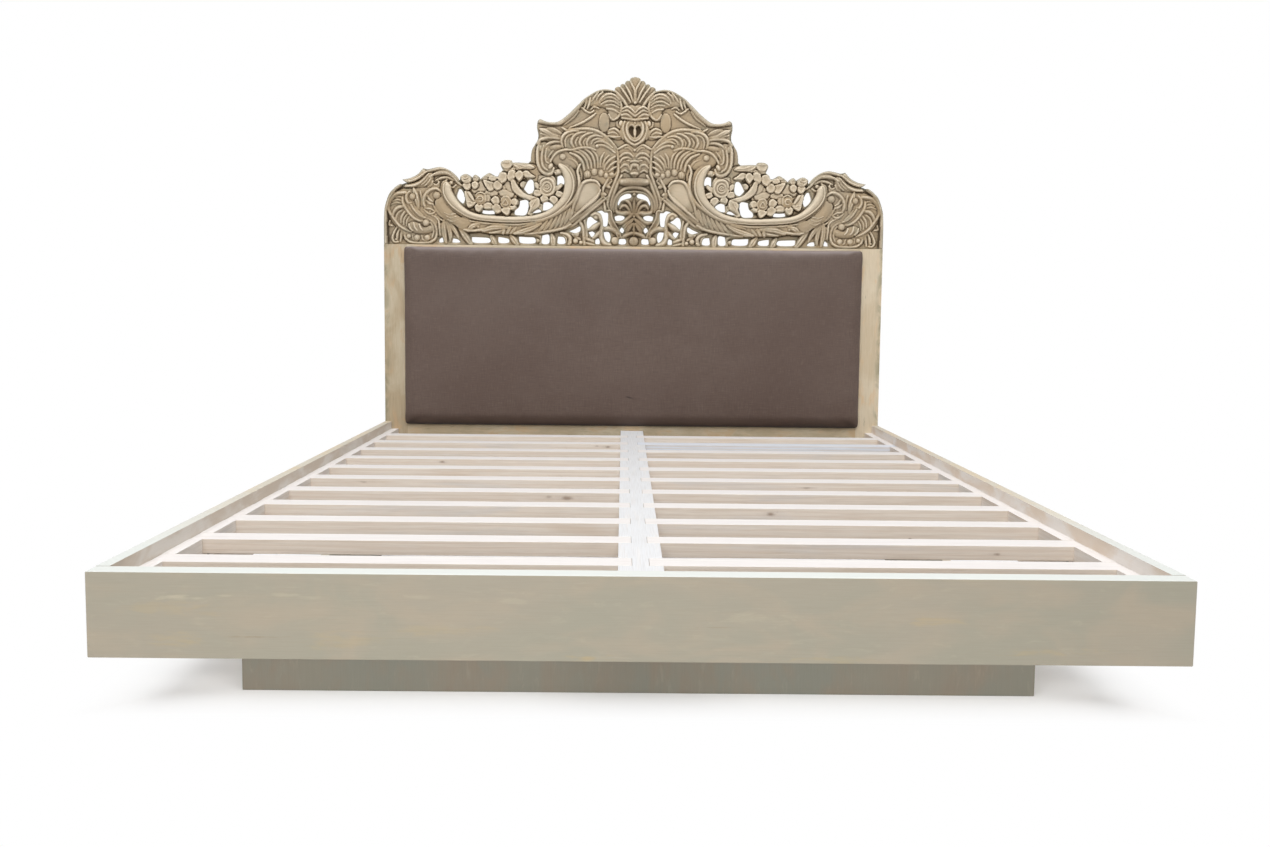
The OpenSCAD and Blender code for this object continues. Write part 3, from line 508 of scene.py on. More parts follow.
# The left rail's inner face is painted darker than the right one's, as painted shade
dress(["side_rail_left"], washed("wash_side_left", "Y", WASH_TONES, 1.2, RAIL_SHADED))
dress(["side_rail_right"], washed("wash_side_right", "Y", WASH_TONES, 1.9, RAIL_INSIDE))
dress(["plinth_front", "plinth_back"], washed("wash_plinth", "Z", PLINTH_SHADED_TONES, 5.4))
dress(["plinth_left", "plinth_right"], washed("wash_plinth_side", "Z", PLINTH_SHADED_TONES, 6.3))
dress(["post_left"], rubbed("rubbed_post_left", "Z", LEFT_POST_TONES, 2.2, post_edge))
dress(["post_right"], rubbed("rubbed_post_right", "Z", HEAD_TONES, 7.9, post_edge))
dress(["top_rail"], rubbed("rubbed_rail", "X", HEAD_TONES, 4.4))
dress(["bottom_rail"], rubbed("rubbed_low_rail", "X", LOW_RAIL_SHADED_TONES, 4.4))

# Knots of single slats: place along, height, half length and half height, strength
KNOTS = {
    "slat_left_05": [((-0.187, 0.255), (0.024, 0.008), 1.0), ((-0.238, 0.258), (0.012, 0.005), 0.6)],
    "slat_left_06": [((-0.787, 0.260), (0.014, 0.004), 0.5)],
    "slat_left_08": [((-0.628, 0.260), (0.012, 0.006), 1.0)],
    "slat_left_10": [((-0.090, 0.260), (0.012, 0.005), 0.9), ((-0.130, 0.263), (0.008, 0.003), 0.6)],
    "slat_right_02": [((0.775, 0.252), (0.011, 0.005), 1.0)],
    "slat_right_03": [((0.640, 0.240), (0.007, 0.003), 1.0)],
    "slat_right_04": [((0.340, 0.256), (0.015, 0.008), 1.0)],
    "slat_right_06": [((0.500, 0.254), (0.013, 0.004), 0.7)],
}
BLUISH_SLAT = "slat_right_10"
SLATS_A_SIDE = 11

# The other slats share four materials in turn
shared = [limed(f"lime_slat_{k + 1}", "X", 2.3 * k, 0.1 * (k % 3)) for k in range(4)]
for index, slat in enumerate(slats):
    if slat in KNOTS:
        dress([slat], limed(f"lime_{slat}", "X", 1.3 * index, 0.1, KNOTS[slat]))
    elif slat == BLUISH_SLAT:
        dress([slat], limed(f"lime_{slat}", "X", 9.1, -0.4, (), LIME_BLUE, LIME_BLUE))
    else:
        dress([slat], shared[(index * 3 + index // SLATS_A_SIDE) % len(shared)])
dress(["centre_beam"], limed("lime_beam", "Y", 7.7, -0.3, (), BEAM_TOP_PAINTED_LIGHT, BEAM_SIDE))
dress(["ledge_left", "ledge_right"], limed("lime_ledge", "Y", 5.5, 0.0, (), LIME_TOP_PAINTED_LIGHT, LIME_WHITE))
dress(["plinth_centre"], limed("lime_plinth", "Y", 8.8, 0.1))
dress(starting("bearer_"), limed("lime_bearer", "X", 6.6, 0.1))
dress(starting("corner_block") + ["plinth_blocks", "crest_dowels"], limed("lime_block", "Z", 3.9, 0.1))
dress(["back_panel", "cushion_board"], limed("bare_plywood", "X", 9.0, 0.2))
dress(["headboard_bolts", "headboard_nuts", "ledge_screws"], zinc("zinc"))

ease_edges(["foot_rail", "side_rail_left", "side_rail_right", "post_left", "post_right"], 0.002)
ease_edges(["plinth_front", "plinth_back", "plinth_left", "plinth_right"], 0.0015)
ease_edges(slats + ["centre_beam", "ledge_left", "ledge_right"], 0.0012)


# Cushion

# Rows of the cushion's rim, from the seam in the opening outwards over the frame and round to the front:
# how far in m each stands outside the opening and in front of the frame
RIM_ROWS = (
    (-0.001, 0.003),
    (0.0065, 0.0035),
    (0.0095, 0.0065),
    (0.0080, 0.0110),
    (0.0005, 0.0150),
    (-0.0120, 0.0178),
    (-0.0290, 0.0193),
)

# How far the rim reaches over the frame in the end, the radius of the corners and how much the middle
# stands out
OVERHANG = 0.0105
LOWER_CORNER = 0.018
UPPER_CORNER = 0.011
CROWN = 0.0007

# The pad's mesh and simulation: side of a square, pressure, share that the cover is too large, number of
# frames, and furthest that a point may move
PAD_STEP = 0.012
PAD_PRESSURE = 3.0
PAD_SLACK = 0.012
PAD_FRAMES = 20
PAD_REACH = 0.004


def placed(name, data):
    """A new object with the given mesh, lamp or lens, in the scene."""
    piece = bpy.data.objects.new(name, data)
    bpy.context.scene.collection.objects.link(piece)
    return piece


def pad(name, low, high, face):
    """A closed pad in an opening: flat behind, with upright sides up to the face of the frame, and from there
    a round rim that swells over the frame. Also returns which points the board and the seam hold."""
    half = (high - low) / 2
    middle = (low + high) / 2
    columns, rows = round(2 * half.x / PAD_STEP), round(2 * half.z / PAD_STEP)
    x, z = np.meshgrid(np.linspace(-half.x, half.x, columns + 1), np.linspace(-half.z, half.z, rows + 1))
    rear = np.stack([x + middle.x, np.full_like(x, high.y), z + middle.z], -1).reshape(-1, 3)
    i, j = np.meshgrid(np.arange(columns + 1), np.arange(rows + 1))
    row = np.minimum(np.minimum(i, columns - i), np.minimum(j, rows - j))
    row = np.minimum(row, len(RIM_ROWS) - 1)
    outward, forward = np.moveaxis(np.array(RIM_ROWS)[row], -1, 0)
    x = x * (half.x + outward) / (half.x - 2 * half.x * row / columns)
    z = z * (half.z + outward) / (half.z - 2 * half.z * row / rows)
    bulge = np.clip((1 - (x / half.x) ** 2) * (1 - (z / half.z) ** 2), 0, 1)
    forward = forward + np.where(row == len(RIM_ROWS) - 1, CROWN * bulge, 0)
    corner = np.where(z < 0, LOWER_CORNER, UPPER_CORNER)
    u = np.clip(1 - (half.x + outward - np.abs(x)) / corner, 1e-6, 1)
    v = np.clip(1 - (half.z + outward - np.abs(z)) / corner, 1e-6, 1)
    pull = 1 - np.maximum(u, v) / np.hypot(u, v)
    x = x - np.sign(x) * u * corner * pull
    z = z - np.sign(z) * v * corner * pull
    front = np.stack([x + middle.x, face - forward, z + middle.z], -1).reshape(-1, 3)
    count = columns + 1
    faces = []
    for j in range(rows):
        for i in range(columns):
            a = j * count + i
            faces.append((a, a + count, a + count + 1, a + 1))
            b = a + len(rear)
            faces.append((b, b + 1, b + count + 1, b + count))
    seam = list(range(columns)) + [j * count + columns for j in range(rows)]
    seam += [rows * count + i for i in range(columns, 0, -1)] + [j * count for j in range(rows, 0, -1)]
    for k, a in enumerate(seam):
        b = seam[(k + 1) % len(seam)]
        faces.append((a, b, b + len(rear), a + len(rear)))
    mesh = bpy.data.meshes.new(name)
    mesh.from_pydata(np.concatenate([rear, front]).tolist(), [], faces)
    mesh.update()
    for polygon in mesh.polygons:
        polygon.use_smooth = True
    return placed(name, mesh), list(range(len(rear))) + [a + len(rear) for a in seam]


def read_points(vertices):
    """The places of a mesh's points, one a row."""
    flat = np.empty(3 * len(vertices))
    vertices.foreach_get("co", flat)
    return flat.reshape(-1, 3)


def swell(piece, held):
    """Blows the pad up as cloth with some points held. The cover is cut a little too large, so that it
    ripples along its edges, and no point moves further than PAD_REACH."""
    points = piece.data.vertices
    start = read_points(points)
    group = piece.vertex_groups.new(name="held")
    group.add(held, 1.0, "REPLACE")
    cloth = piece.modifiers.new("cloth", "CLOTH")
    settings = cloth.settings
    settings.quality = 5
    settings.mass = 0.4
    settings.tension_stiffness = settings.compression_stiffness = 20
    settings.shear_stiffness = 10
    settings.bending_stiffness = 0.6
    settings.vertex_group_mass = group.name
    settings.use_pressure = True
    settings.uniform_pressure_force = PAD_PRESSURE
    settings.shrink_min = -PAD_SLACK
    settings.effector_weights.gravity = 0
    cloth.collision_settings.use_collision = False
    scene = bpy.context.scene
    for number in range(1, PAD_FRAMES + 1):
        scene.frame_set(number)
    shaped = piece.evaluated_get(bpy.context.evaluated_depsgraph_get()).to_mesh()
    shift = read_points(shaped.vertices) - start
    piece.modifiers.remove(cloth)
    scene.frame_set(1)
    length = np.linalg.norm(shift, axis=1)[:, None]
    shift *= np.minimum(1, PAD_REACH / np.maximum(length, 1e-9))
    points.foreach_set("co", (start + shift).ravel())
    piece.data.update()


def settle(piece, held, low, high, face):
    """Gives the swollen rim its even overhang again and keeps it in front of the frame's face."""
    points = piece.data.vertices
    place = read_points(points)
    free = np.ones(len(points), bool)
    free[held] = False
    for axis in (0, 2):
        line = place[free, axis]
        first, last = low[axis] - OVERHANG, high[axis] + OVERHANG
        place[free, axis] = first + (line - line.min()) * (last - first) / (line.max() - line.min())
    place[free, 1] = np.clip(place[free, 1], low.y, face - RIM_ROWS[0][1])
    points.foreach_set("co", place.ravel())
    piece.data.update()


cushion_low, cushion_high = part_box("cushion")
frame_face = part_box("post_left")[0].y
cushion, held = pad("upholstered_panel", cushion_low, cushion_high, frame_face)
swell(cushion, held)
settle(cushion, held, cushion_low, cushion_high, frame_face)
smoother = cushion.modifiers.new("smooth", "SUBSURF")
smoother.levels = smoother.render_levels = 1
cushion.data.materials.append(leather("leatherette"))
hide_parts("cushion")
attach(cushion, "root")


# Carved crest. The left half is drawn in steps: x runs from the centre line outwards and z up from the
# foot of the crest, 504 steps across the whole crest and 172 up. All widths and reaches are in steps as
# well, and all heights and depths in mm, in front of the back.
#
# A closed line is a list of [x, z], and a point given twice makes a corner in it. A mass is a closed
# line, the height of the form and how far inside its edge it reaches that height. A leaf is a closed
# line, its height and how much it is hollowed. A petal is [x, z, length, width, turn in degrees, rise], a
# bead [x, z, diameter], and a stroke its kind and a line of [x, z, width].

CREST_STEPS = 504
CREST_UP = 172

# Grid on which the height is worked out: its spacing in steps, and its points across and up
GRID = 0.5
COLUMNS = 507
ROWS = 347

# Heights of the ground, of the places below it, of the lowest foot of forms, and of the tallest form
GROUND = 21.0
POCKET_FLOOR = 15
HEART_FLOOR = 9
WINDOW_FOOT = 22
PETAL_FOOT = 26
WINDOW_PETAL_FOOT = 30
STROKE_FOOT = 24, 38
TALLEST_FOOT = 40.5
TALLEST = 48.6

# How far inside its edge a sunk place reaches its floor, and how high masses and beads rise
POCKET_SLOPE = 2
HEART_SLOPE = 1.6
MASS_RISE = 8
BEAD_RISE = 1.2
BEAD_RISE_PER_STEP = 1.05

# Grooves that the tool leaves beside a form: depth and width
MASS_GROOVE = 2.2, 1.0
STROKE_GROOVE = 1.6, 0.8
LEAF_GROOVE = 4.4, 0.9
DOME_GROOVE = 2.2, 0.75

# Strokes: how much wider than drawn, outside and in the windows, the rise of a rib of the usual width, that
# width, the roundness of a rib, and half the width of a blade's groove
WIDER = 1.4
WINDOW_WIDER = 1.3
RIB_RISE = 6.5
RIB_WIDTH = 2.6
RIB_ROUND = 0.95
MIDRIB = 0.7

# Leaves: how far the rim drops and over what width, how deep a full hollow is and over what width it
# deepens, and how worn leaves are
LEAF_DROP = 4.5
LEAF_RIM = 0.9
LEAF_HOLLOW = 0.9
LEAF_SLOPE = 2.8
LEAF_WORN = 0.7

# The roll round the windows: its foot and its rise, and the skirt on its outer side, whose height falls
# evenly from the roll's middle and which ends some half widths out
ROLL_FOOT = 28
ROLL_RISE = 16
SKIRT_TOP = 42
SKIRT_SLOPE = 8
SKIRT_REACH = 1.6

# Petals and beads: how deep they sit, the dent of a cupped one, and how much larger than drawn a petal is
SUNK = 1.4
CUPPED = 0.35
PETAL_GROWN = 1.1

# The worn edge along the outline and the piercings, and the softening of all forms
EDGE_DROP = 5.0
EDGE_REACH = 1.3
SOFTENING = 0.7

# Outline of the half, and the openings through it
CREST_EDGE = [
    [0, 0], [0, 0], [252, 0], [252, 0], [252, 15], [251.8, 28], [251, 38], [247, 50], [241, 57], [235, 61],
    [230, 62.5], [230, 62.5], [235, 66], [235, 66], [229, 66.5], [223, 69], [217, 73], [213.5, 77.5],
    [213.5, 77.5], [209, 76.5], [203, 77.5], [197, 78.5], [191, 77.5], [185, 74.5], [180, 70], [177, 65.5],
    [177, 65.5], [174.5, 69.5], [170, 71.8], [166, 70.5], [163.5, 68], [163.5, 68], [161, 71], [157.5, 69.8],
    [155.5, 66.5], [155.5, 66.5], [151.5, 70], [146.5, 73], [142.5, 71.5], [139.5, 70], [136, 73],
    [132.5, 76], [132.5, 76], [134.7, 80], [134, 84], [130, 86], [124, 86], [124, 86], [123, 83.8], [117, 84],
    [111, 83.6], [107.5, 84], [104.8, 86], [104.8, 86], [104.5, 92], [103, 98.5], [98, 106], [98, 106],
    [97.2, 112], [98.5, 119], [98, 125], [95, 127.5], [90.5, 125.6], [85, 124.5], [79.5, 124.7], [75, 126.5],
    [69, 131], [63, 136.5], [57, 142.5], [51.5, 148], [45, 152.5], [37, 156.8], [29, 158], [20.5, 156.5],
    [20.5, 156.5], [20.3, 159.5], [17.5, 161.2], [15.3, 160.5], [15.3, 160.5], [14.6, 163], [12.5, 164],
    [10.8, 163], [10.8, 163], [9.8, 166], [7.5, 167.3], [5.6, 166.6], [5.6, 166.6], [3.6, 170.2], [0, 172],
    [0, 172],
]
GAPS = [
    [[178, 57], [180, 50], [177, 45], [173, 42.5], [171.5, 47], [173, 53], [175.5, 57]],
    [[153.5, 36], [148, 35.6], [143, 35.6], [141, 32.4], [148, 31.8], [154, 33]],
    [[116, 46], [110, 47], [107, 44], [107.5, 38], [110, 31.5], [117, 31], [121, 32], [121, 36], [117, 40]],
    [[92, 44.4], [87, 45], [82, 41], [86, 37.5], [92, 36], [92.6, 40]],
    [[100, 36.4], [96.5, 37.4], [94, 35], [99, 33.6], [104, 33]],
    [[78, 71], [74, 72], [71, 68], [71, 62.5], [75, 64], [78, 62]],
    [[112, 58], [108, 66], [104, 67.5], [101.5, 63], [102, 55], [107, 53]],
    [[198, 6], [195, 8], [193.6, 6], [193.6, 3], [198, 3]],
    [[184, 7], [179, 6], [176.5, 3], [184.5, 3]],
    [[165, 8.6], [156, 8.4], [147, 7.4], [146.4, 3], [163, 3]],
    [[138, 9], [132, 8.2], [127, 6.6], [127.4, 3], [137, 3]],
    [[117, 9.4], [108, 9], [101, 8.4], [100.4, 3], [115, 3]],
    [[93, 11], [86.4, 11.6], [86, 3], [93.6, 3]],
    [[77, 10], [71, 9], [69.6, 3], [77.4, 3]],
    [[66, 15.4], [60, 18], [55, 20.6], [54.4, 16], [59, 13.4]],
    [[47, 29], [44, 30.6], [40, 27.4], [37, 25.4], [42, 22], [46.6, 18], [48, 24]],
    [[38, 35.6], [33, 37], [30, 35], [26.4, 34], [26.6, 24], [28, 20.6], [31, 21], [31.6, 27], [33.6, 33]],
    [[30.6, 15], [25.6, 15], [23.6, 10], [25, 4.6], [28.4, 7], [30, 11]],
    [[39, 7], [35.6, 8.4], [34.6, 3], [38.8, 3]],
    [[46, 14.6], [42, 15.6], [39.6, 13], [42.6, 9.6]],
    [[16.6, 45], [14, 50.6], [9, 53.8], [4, 54], [3, 50.4], [8, 48.4], [13, 46.4], [16, 42]],
    [[19.6, 31], [18.4, 26.6], [13, 26.6], [10, 28.4], [10, 31], [15, 32.2]],
    [[14.6, 8], [8.6, 8], [8.4, 3], [15, 3]],
    [[12.6, 20], [14.4, 16.6], [11.6, 14], [10, 16.6], [11, 19]],
]

# Sunk places: the heart in the middle, and the ground behind the flowers
HEART = [
    [0.7, 120], [2.6, 122], [5.4, 121.4], [6.6, 118], [5.4, 114], [2.6, 111], [0.8, 110.4], [1.2, 115],
]
WINDOW_POCKET = [
    [176, 58], [173, 49], [167, 41], [158, 36], [146, 34], [130, 32.6], [112, 32.6], [101, 34], [91, 38],
    [81, 44], [74, 51], [71.6, 58], [72, 66], [75, 74], [84, 78], [96, 82], [110, 86], [122, 87], [136, 85],
    [146, 78], [158, 73.6], [168, 70.6], [175, 66],
]

# Window with the flowers
WINDOW_MASSES = [
    ([[176, 66], [166, 70], [158, 68], [152, 68], [146, 71], [136, 70], [132, 76], [133, 84], [124, 85],
     [121, 82], [105, 83], [98, 80], [93, 72], [82, 70], [78, 61], [82, 50], [92, 46], [100, 47], [106, 51],
     [103, 60], [110, 68], [117, 62], [118, 52], [121, 44], [126, 37], [134, 35], [150, 38], [162, 40],
     [170, 46], [171, 56]], 27, 2),
]
WINDOW_LEAVES = [
    ([[156.6, 64], [154, 63.4], [151.6, 59], [148.6, 54.8], [153, 55], [158, 55], [161.6, 53], [164, 56.4],
     [160, 58]], 29, 1),
    ([[149.6, 54.6], [145, 55.4], [141, 57.4], [137.4, 56], [139, 51], [143, 50], [147, 50.6],
     [150.6, 52]], 31, 1),
    ([[150.6, 50], [147.6, 50.8], [145.4, 48], [146.4, 44.6], [150, 42.6]], 29, 1),
    ([[134.6, 50.4], [137, 54.6], [133.6, 56.6], [128, 57.6], [123.6, 55.6], [121.6, 52.4], [124, 49],
     [130, 49.4]], 31, 1),
    ([[134.6, 58.4], [131.6, 60.8], [128.6, 61.6], [127.4, 58.8], [131, 57.6]], 31, 1),
    ([[128.4, 66], [126.6, 66.6], [124.8, 60], [122.6, 54.8], [125, 55.4], [128.6, 57.6],
     [130.6, 62.6]], 30, 1),
    ([[96, 70.4], [90, 71.6], [83, 71], [79.6, 66], [79, 59], [81, 52], [88, 49], [95, 52], [97.4, 60],
     [96.6, 66]], 27, 0),
    ([[163, 68.6], [161.6, 70.8], [159.4, 70.4], [157.2, 67.4], [158.6, 64.8], [162, 64.8]], 34, 2),
    ([[173, 61.4], [171.8, 57.8], [169, 55.6], [166.4, 56.8], [165, 60], [166, 62.6], [170, 62.8]], 37, 2),
    ([[164, 62], [163.4, 58.8], [161.6, 57], [159.4, 57.6], [157.6, 60.4], [158.4, 63],
     [161.6, 63.8]], 37, 2),
    ([[175.6, 68.4], [174, 70.8], [170, 71.2], [166.4, 69.8], [164.8, 67], [165.2, 64.4], [168.4, 62.8],
     [172.4, 63.8]], 39, 3),
    ([[171.4, 54.2], [168, 53.8], [165.6, 50.4], [163, 47], [160.6, 44.4], [160.8, 41], [163.6, 39.4],
     [167, 38.2], [168.8, 40.8], [169.6, 44.6], [171, 49.4]], 36, 2),
    ([[168, 53.8], [166.2, 53.4], [163, 48.6], [161.4, 45.4], [162.8, 45.4], [165.8, 49.4]], 38, 0),
    ([[152.4, 40.4], [149.6, 42.4], [146, 42.8], [142.8, 40.6], [142.4, 38.4], [145, 36.8], [149.4, 36.6],
     [152, 37.6]], 35, 2),
    ([[160.8, 39.2], [158.6, 41.2], [156.4, 39.6], [154.4, 41], [153, 38.6], [153.6, 35.8], [156.2, 33.8],
     [159.4, 35]], 39, 2),
    ([[154.6, 67.2], [152.4, 70.6], [148, 72.6], [144.4, 72.8], [144.8, 69], [147.6, 66],
     [151.6, 66]], 33, 2),
    ([[150.4, 60.6], [152.4, 65.2], [148.6, 65], [144.6, 64.2], [141, 62.4], [141.8, 57.4], [144.4, 55.2],
     [147.2, 56]], 37, 3),
    ([[141.8, 60], [140.8, 63.8], [138.2, 65.4], [135.6, 64.4], [133.6, 61.2], [134.6, 57.8], [137.6, 56],
     [140.6, 57.4]], 38, 3),
    ([[146.8, 66.4], [145.6, 69.6], [142, 70.2], [139.2, 68.6], [139.6, 66.4], [142.8, 65]], 38, 2),
    ([[138.6, 67.6], [136.4, 70.6], [134.6, 73.6], [129.4, 72.6], [128.4, 67.6], [131, 64.2], [133.4, 63],
     [135.8, 65.4]], 40, 3),
    ([[124.2, 42.4], [123.4, 46.2], [120, 47.2], [117.4, 45], [118, 42.2], [121, 40.4]], 33, 2),
    ([[127, 38.8], [124, 39.8], [120, 39.6], [118.8, 37.8], [121.6, 36.2], [126, 36.8]], 35, 1),
    ([[144.6, 46], [141.6, 48.8], [139.2, 49.2], [137, 47], [136.6, 43], [139.6, 40.8], [142.8, 43]], 37, 3),
    ([[143.4, 38.2], [140.6, 41], [136.8, 40.8], [134.2, 37], [134.8, 34.2], [138.4, 32.6],
     [142.2, 33.8]], 36, 3),
    ([[133.8, 36.8], [130, 37.6], [126.2, 37.8], [125.8, 34.2], [127.2, 31.2], [129.2, 30.8], [131.8, 32.8],
     [134, 35]], 39, 3),
    ([[123.8, 82], [121.6, 83.8], [117, 83.2], [111, 83.6], [105, 81.8], [101, 78.8], [107, 77.6],
     [113, 77.8], [118, 76.4], [122, 78.2]], 32, 1),
    ([[134.8, 74.8], [131, 75.2], [126, 74.8], [121, 75.2], [121.6, 78], [128, 78.4], [133, 77.6]], 34, 1),
    ([[135, 85.4], [134.6, 81.6], [131.8, 78], [127.6, 77.6], [124.8, 79], [123.4, 82], [124.4, 86.2],
     [130, 86.4]], 38, 3),
    ([[112.2, 74.2], [108.6, 75.4], [104, 71.8], [100.6, 69.6], [105.6, 68.6], [109.8, 69.6],
     [112, 71.8]], 37, 2),
    ([[127.6, 70.6], [126.4, 74.6], [122.6, 75.8], [120.2, 74.4], [120.4, 69.2], [123.6, 66.4], [125.6, 65.4],
     [127.2, 67]], 40, 3),
    ([[119.8, 70.6], [118.8, 73.2], [116.4, 75.4], [113.2, 74], [112.4, 70.4], [114, 67.4], [115.8, 65.2],
     [118.2, 67.6]], 40, 3),
    ([[115.4, 62.6], [113, 64.6], [109.4, 64], [108.6, 61], [111.4, 58.6], [114.6, 60]], 30, 2),
    ([[124.6, 65], [121.4, 66.2], [119, 61.8], [115, 56.6], [111, 52.8], [105, 50.4], [98.4, 49],
     [95.6, 46.4], [100, 45.2], [106, 46.2], [112, 48.2], [118, 51.6], [122.6, 56.4]], 36, 0),
    ([[96.6, 41.4], [94, 42.4], [90.8, 41], [90, 38], [91, 35.4], [93.6, 35.2], [96.2, 38]], 34, 2),
    ([[97, 48], [101, 46.2], [104.6, 44.6], [106.4, 42.4], [104.8, 38], [107.4, 32.8], [105, 30.8],
     [101.6, 32.4], [98.2, 37], [96, 40.4], [95.2, 45]], 38, 2),
    ([[80.8, 56.6], [78.6, 60.4], [75, 62.4], [71.6, 63.8], [73, 60.4], [76, 57.4], [79.6, 54.8]], 34, 2),
    ([[79.6, 52], [77.6, 55], [74.4, 54.8], [72, 52.6], [73.4, 50.2], [76.8, 49.6]], 37, 3),
    ([[101.6, 62.4], [99, 63.6], [96, 61.2], [94.8, 58.4], [96.6, 57], [99.6, 59]], 38, 2),
    ([[101, 55.8], [97, 56.2], [94.4, 53.4], [94.6, 50.8], [98, 50.4], [101, 51.4]], 38, 3),
    ([[94.6, 48.6], [91.6, 50.8], [87.4, 48.6], [87, 46.4], [90, 44.2], [92.4, 43.6], [94, 46]], 39, 3),
    ([[85.8, 46.6], [83.6, 49.8], [79.6, 50], [77.2, 47.4], [77.8, 44.6], [80, 41.4], [82.8, 43.4]], 39, 3),
]
WINDOW_PETALS = [
    [155.4, 46.4, 10.4, 11, 0, 8], [130, 43.6, 10, 11, 0, 8], [88, 59.2, 16.6, 17.6, 0, 8],
    [78.4, 74.6, 6, 5.6, 0, 6],
]
WINDOW_STROKES = [
    ("r", [[174.4, 68.6, 0.9], [171, 66.8, 1.2], [168.4, 67.6, 1.2], [167.2, 69.2, 1]]),
    ("r", [[170.8, 69.8, 0.8], [168.4, 69.8, 1], [166.2, 67.8, 1], [167.4, 65.4, 1], [170, 65, 0.8]]),
    ("r", [[162.4, 68, 0.8], [160.4, 69.4, 1], [158.6, 67.6, 0.8]]),
    ("r", [[160.4, 49, 1], [158.6, 52, 1.6], [155, 53.4, 1.8], [151.4, 51.6, 1.6], [150, 47.6, 1.4],
     [151, 43.4, 1.4], [154.4, 41.2, 1.4], [158.4, 42.2, 1.4], [160.4, 45.4, 1.2]]),
    ("r", [[158.8, 46.6, 0.9], [157, 48.8, 1.2], [154, 49, 1.2], [152.6, 46.6, 1.2], [154, 44.2, 1.2],
     [156.6, 44.4, 0.9]]),
    ("k", [[157.4, 47, 0.8], [155.4, 46.8, 1], [154, 47.6, 0.8]]),
    ("r", [[134.6, 45, 1], [133, 48.2, 1.5], [129.6, 49.4, 1.6], [126, 47.4, 1.5], [124.8, 43.4, 1.4],
     [126.4, 39.6, 1.4], [130, 38, 1.4], [133.4, 39.6, 1.4], [134.8, 42.6, 1.1]]),
    ("r", [[132.6, 42, 0.8], [131.4, 44.6, 1.1], [130, 46, 1.1], [128.2, 44, 1.1], [127.2, 41.4, 1.1],
     [129.6, 40.6, 1.1], [132, 41, 0.8]]),
    ("r", [[95, 61, 1.4], [93.4, 65.6, 2.2], [88.6, 67.8, 2.4], [83, 65.8, 2.4], [80.6, 60, 2.4],
     [82.4, 53.8, 2.4], [87.6, 51, 2.4], [93, 53, 2.2], [95.2, 58, 1.4]]),
    ("r", [[92.4, 60, 1.1], [90.4, 63.6, 1.5], [86.4, 63.8, 1.5], [83.8, 60.4, 1.5], [84.6, 56.4, 1.5],
     [88.2, 54.6, 1.5], [91.6, 56.6, 1.2]]),
    ("r", [[90, 60.4, 0.8], [87.6, 61.4, 1.1], [86, 59.4, 1.1], [87.4, 57.4, 1.1], [89.6, 58, 0.8]]),
    ("r", [[96.6, 67.4, 0.9], [91.6, 70, 1.3], [86, 69.6, 1.2], [80.4, 66.4, 0.9]]),
    ("k", [[99.6, 45.6, 0.8], [103, 40, 1], [104.8, 34, 0.7]]),
    ("k", [[93.8, 41.4, 0.7], [93, 38.4, 0.9], [92.4, 36, 0.6]]),
    ("r", [[122.6, 82.2, 0.8], [119.4, 80, 1.2], [117, 78.4, 1], [120.6, 80.2, 0.8]]),
    ("r", [[116.6, 82, 0.8], [111, 80.2, 1.2], [105, 80, 1], [101.4, 79, 0.8]]),
    ("k", [[134, 84, 0.8], [130, 83.6, 1.1], [125, 83.8, 0.8]]),
    ("k", [[133.4, 76.2, 0.7], [128, 76.6, 1], [122.6, 76.6, 0.7]]),
    ("r", [[153.4, 68.4, 0.8], [150.4, 70, 1.1], [147.4, 69.4, 1], [146.2, 71.4, 0.8]]),
    ("k", [[163.6, 42, 0.8], [166, 43.6, 1.1], [169, 43, 0.8]]),
]
WINDOW_BEADS = [
    [147.4, 60.6, 1.6], [88, 59.4, 2],
]

# The roll round the window, with what lies beside and below it
SCROLL_MASSES = [
    ([[180, 27], [170, 29], [160, 25], [146, 23.4], [130, 22.8], [114, 23.2], [98, 25.4], [86, 29.4],
     [76, 36], [67, 44], [61, 53], [58, 60], [54, 67], [50, 56], [44, 44], [52, 34], [60, 25], [70, 18.4],
     [84, 14.6], [98, 13], [112, 11], [130, 11.4], [146, 12], [158, 14], [170, 13], [178, 18]], 35, 3),
    ([[96, 100], [88, 104], [76, 104], [66, 97], [58, 90], [56, 80], [62, 78], [68, 80], [76, 80],
     [84, 86]], 30, 5),
    ([[96, 106], [96, 116], [92, 119], [84, 118], [74, 112], [70, 116], [60, 117], [44, 117.4], [30, 112],
     [20, 102], [17, 96], [20, 84], [22, 70], [30, 62], [40, 66], [50, 66], [54, 76], [60, 88], [68, 96],
     [76, 100], [84, 104]], 30, 4),
    ([[34.4, 57], [34.6, 61.6], [39, 64.6], [45, 65], [50, 63], [53.6, 57.6], [56, 50], [59.6, 42.6],
     [60, 37], [56, 35.4], [49, 40.4], [42, 46], [37, 51.6]], 40, 9),
    ([[97, 104], [98.4, 92], [97.4, 80], [92, 72], [85, 71.6], [80.6, 76], [83, 84], [85, 92], [82, 100],
     [90, 105]], 32, 5),
]
SCROLL_PETALS = [
    [47.4, 72.6, 7.2, 6.6, 90, 7], [40.4, 75.2, 7, 6.2, 90, 7], [33.8, 74, 6.8, 5.6, 90, 6],
    [28.6, 71.6, 5.6, 4.6, 90, 5], [94.8, 98.4, 6.4, 3.6, 95, 5], [84.8, 80.2, 6.4, 4.2, 120, 6],
    [76.2, 75, 6, 5.4, 0, 6], [79, 99.6, 13, 5, -8, 5], [32, 53, 7.6, 4.6, 10, 4], [26.8, 61, 6, 3.4, 25, 4],
    [23.2, 73, 5, 4, 0, 4],
]
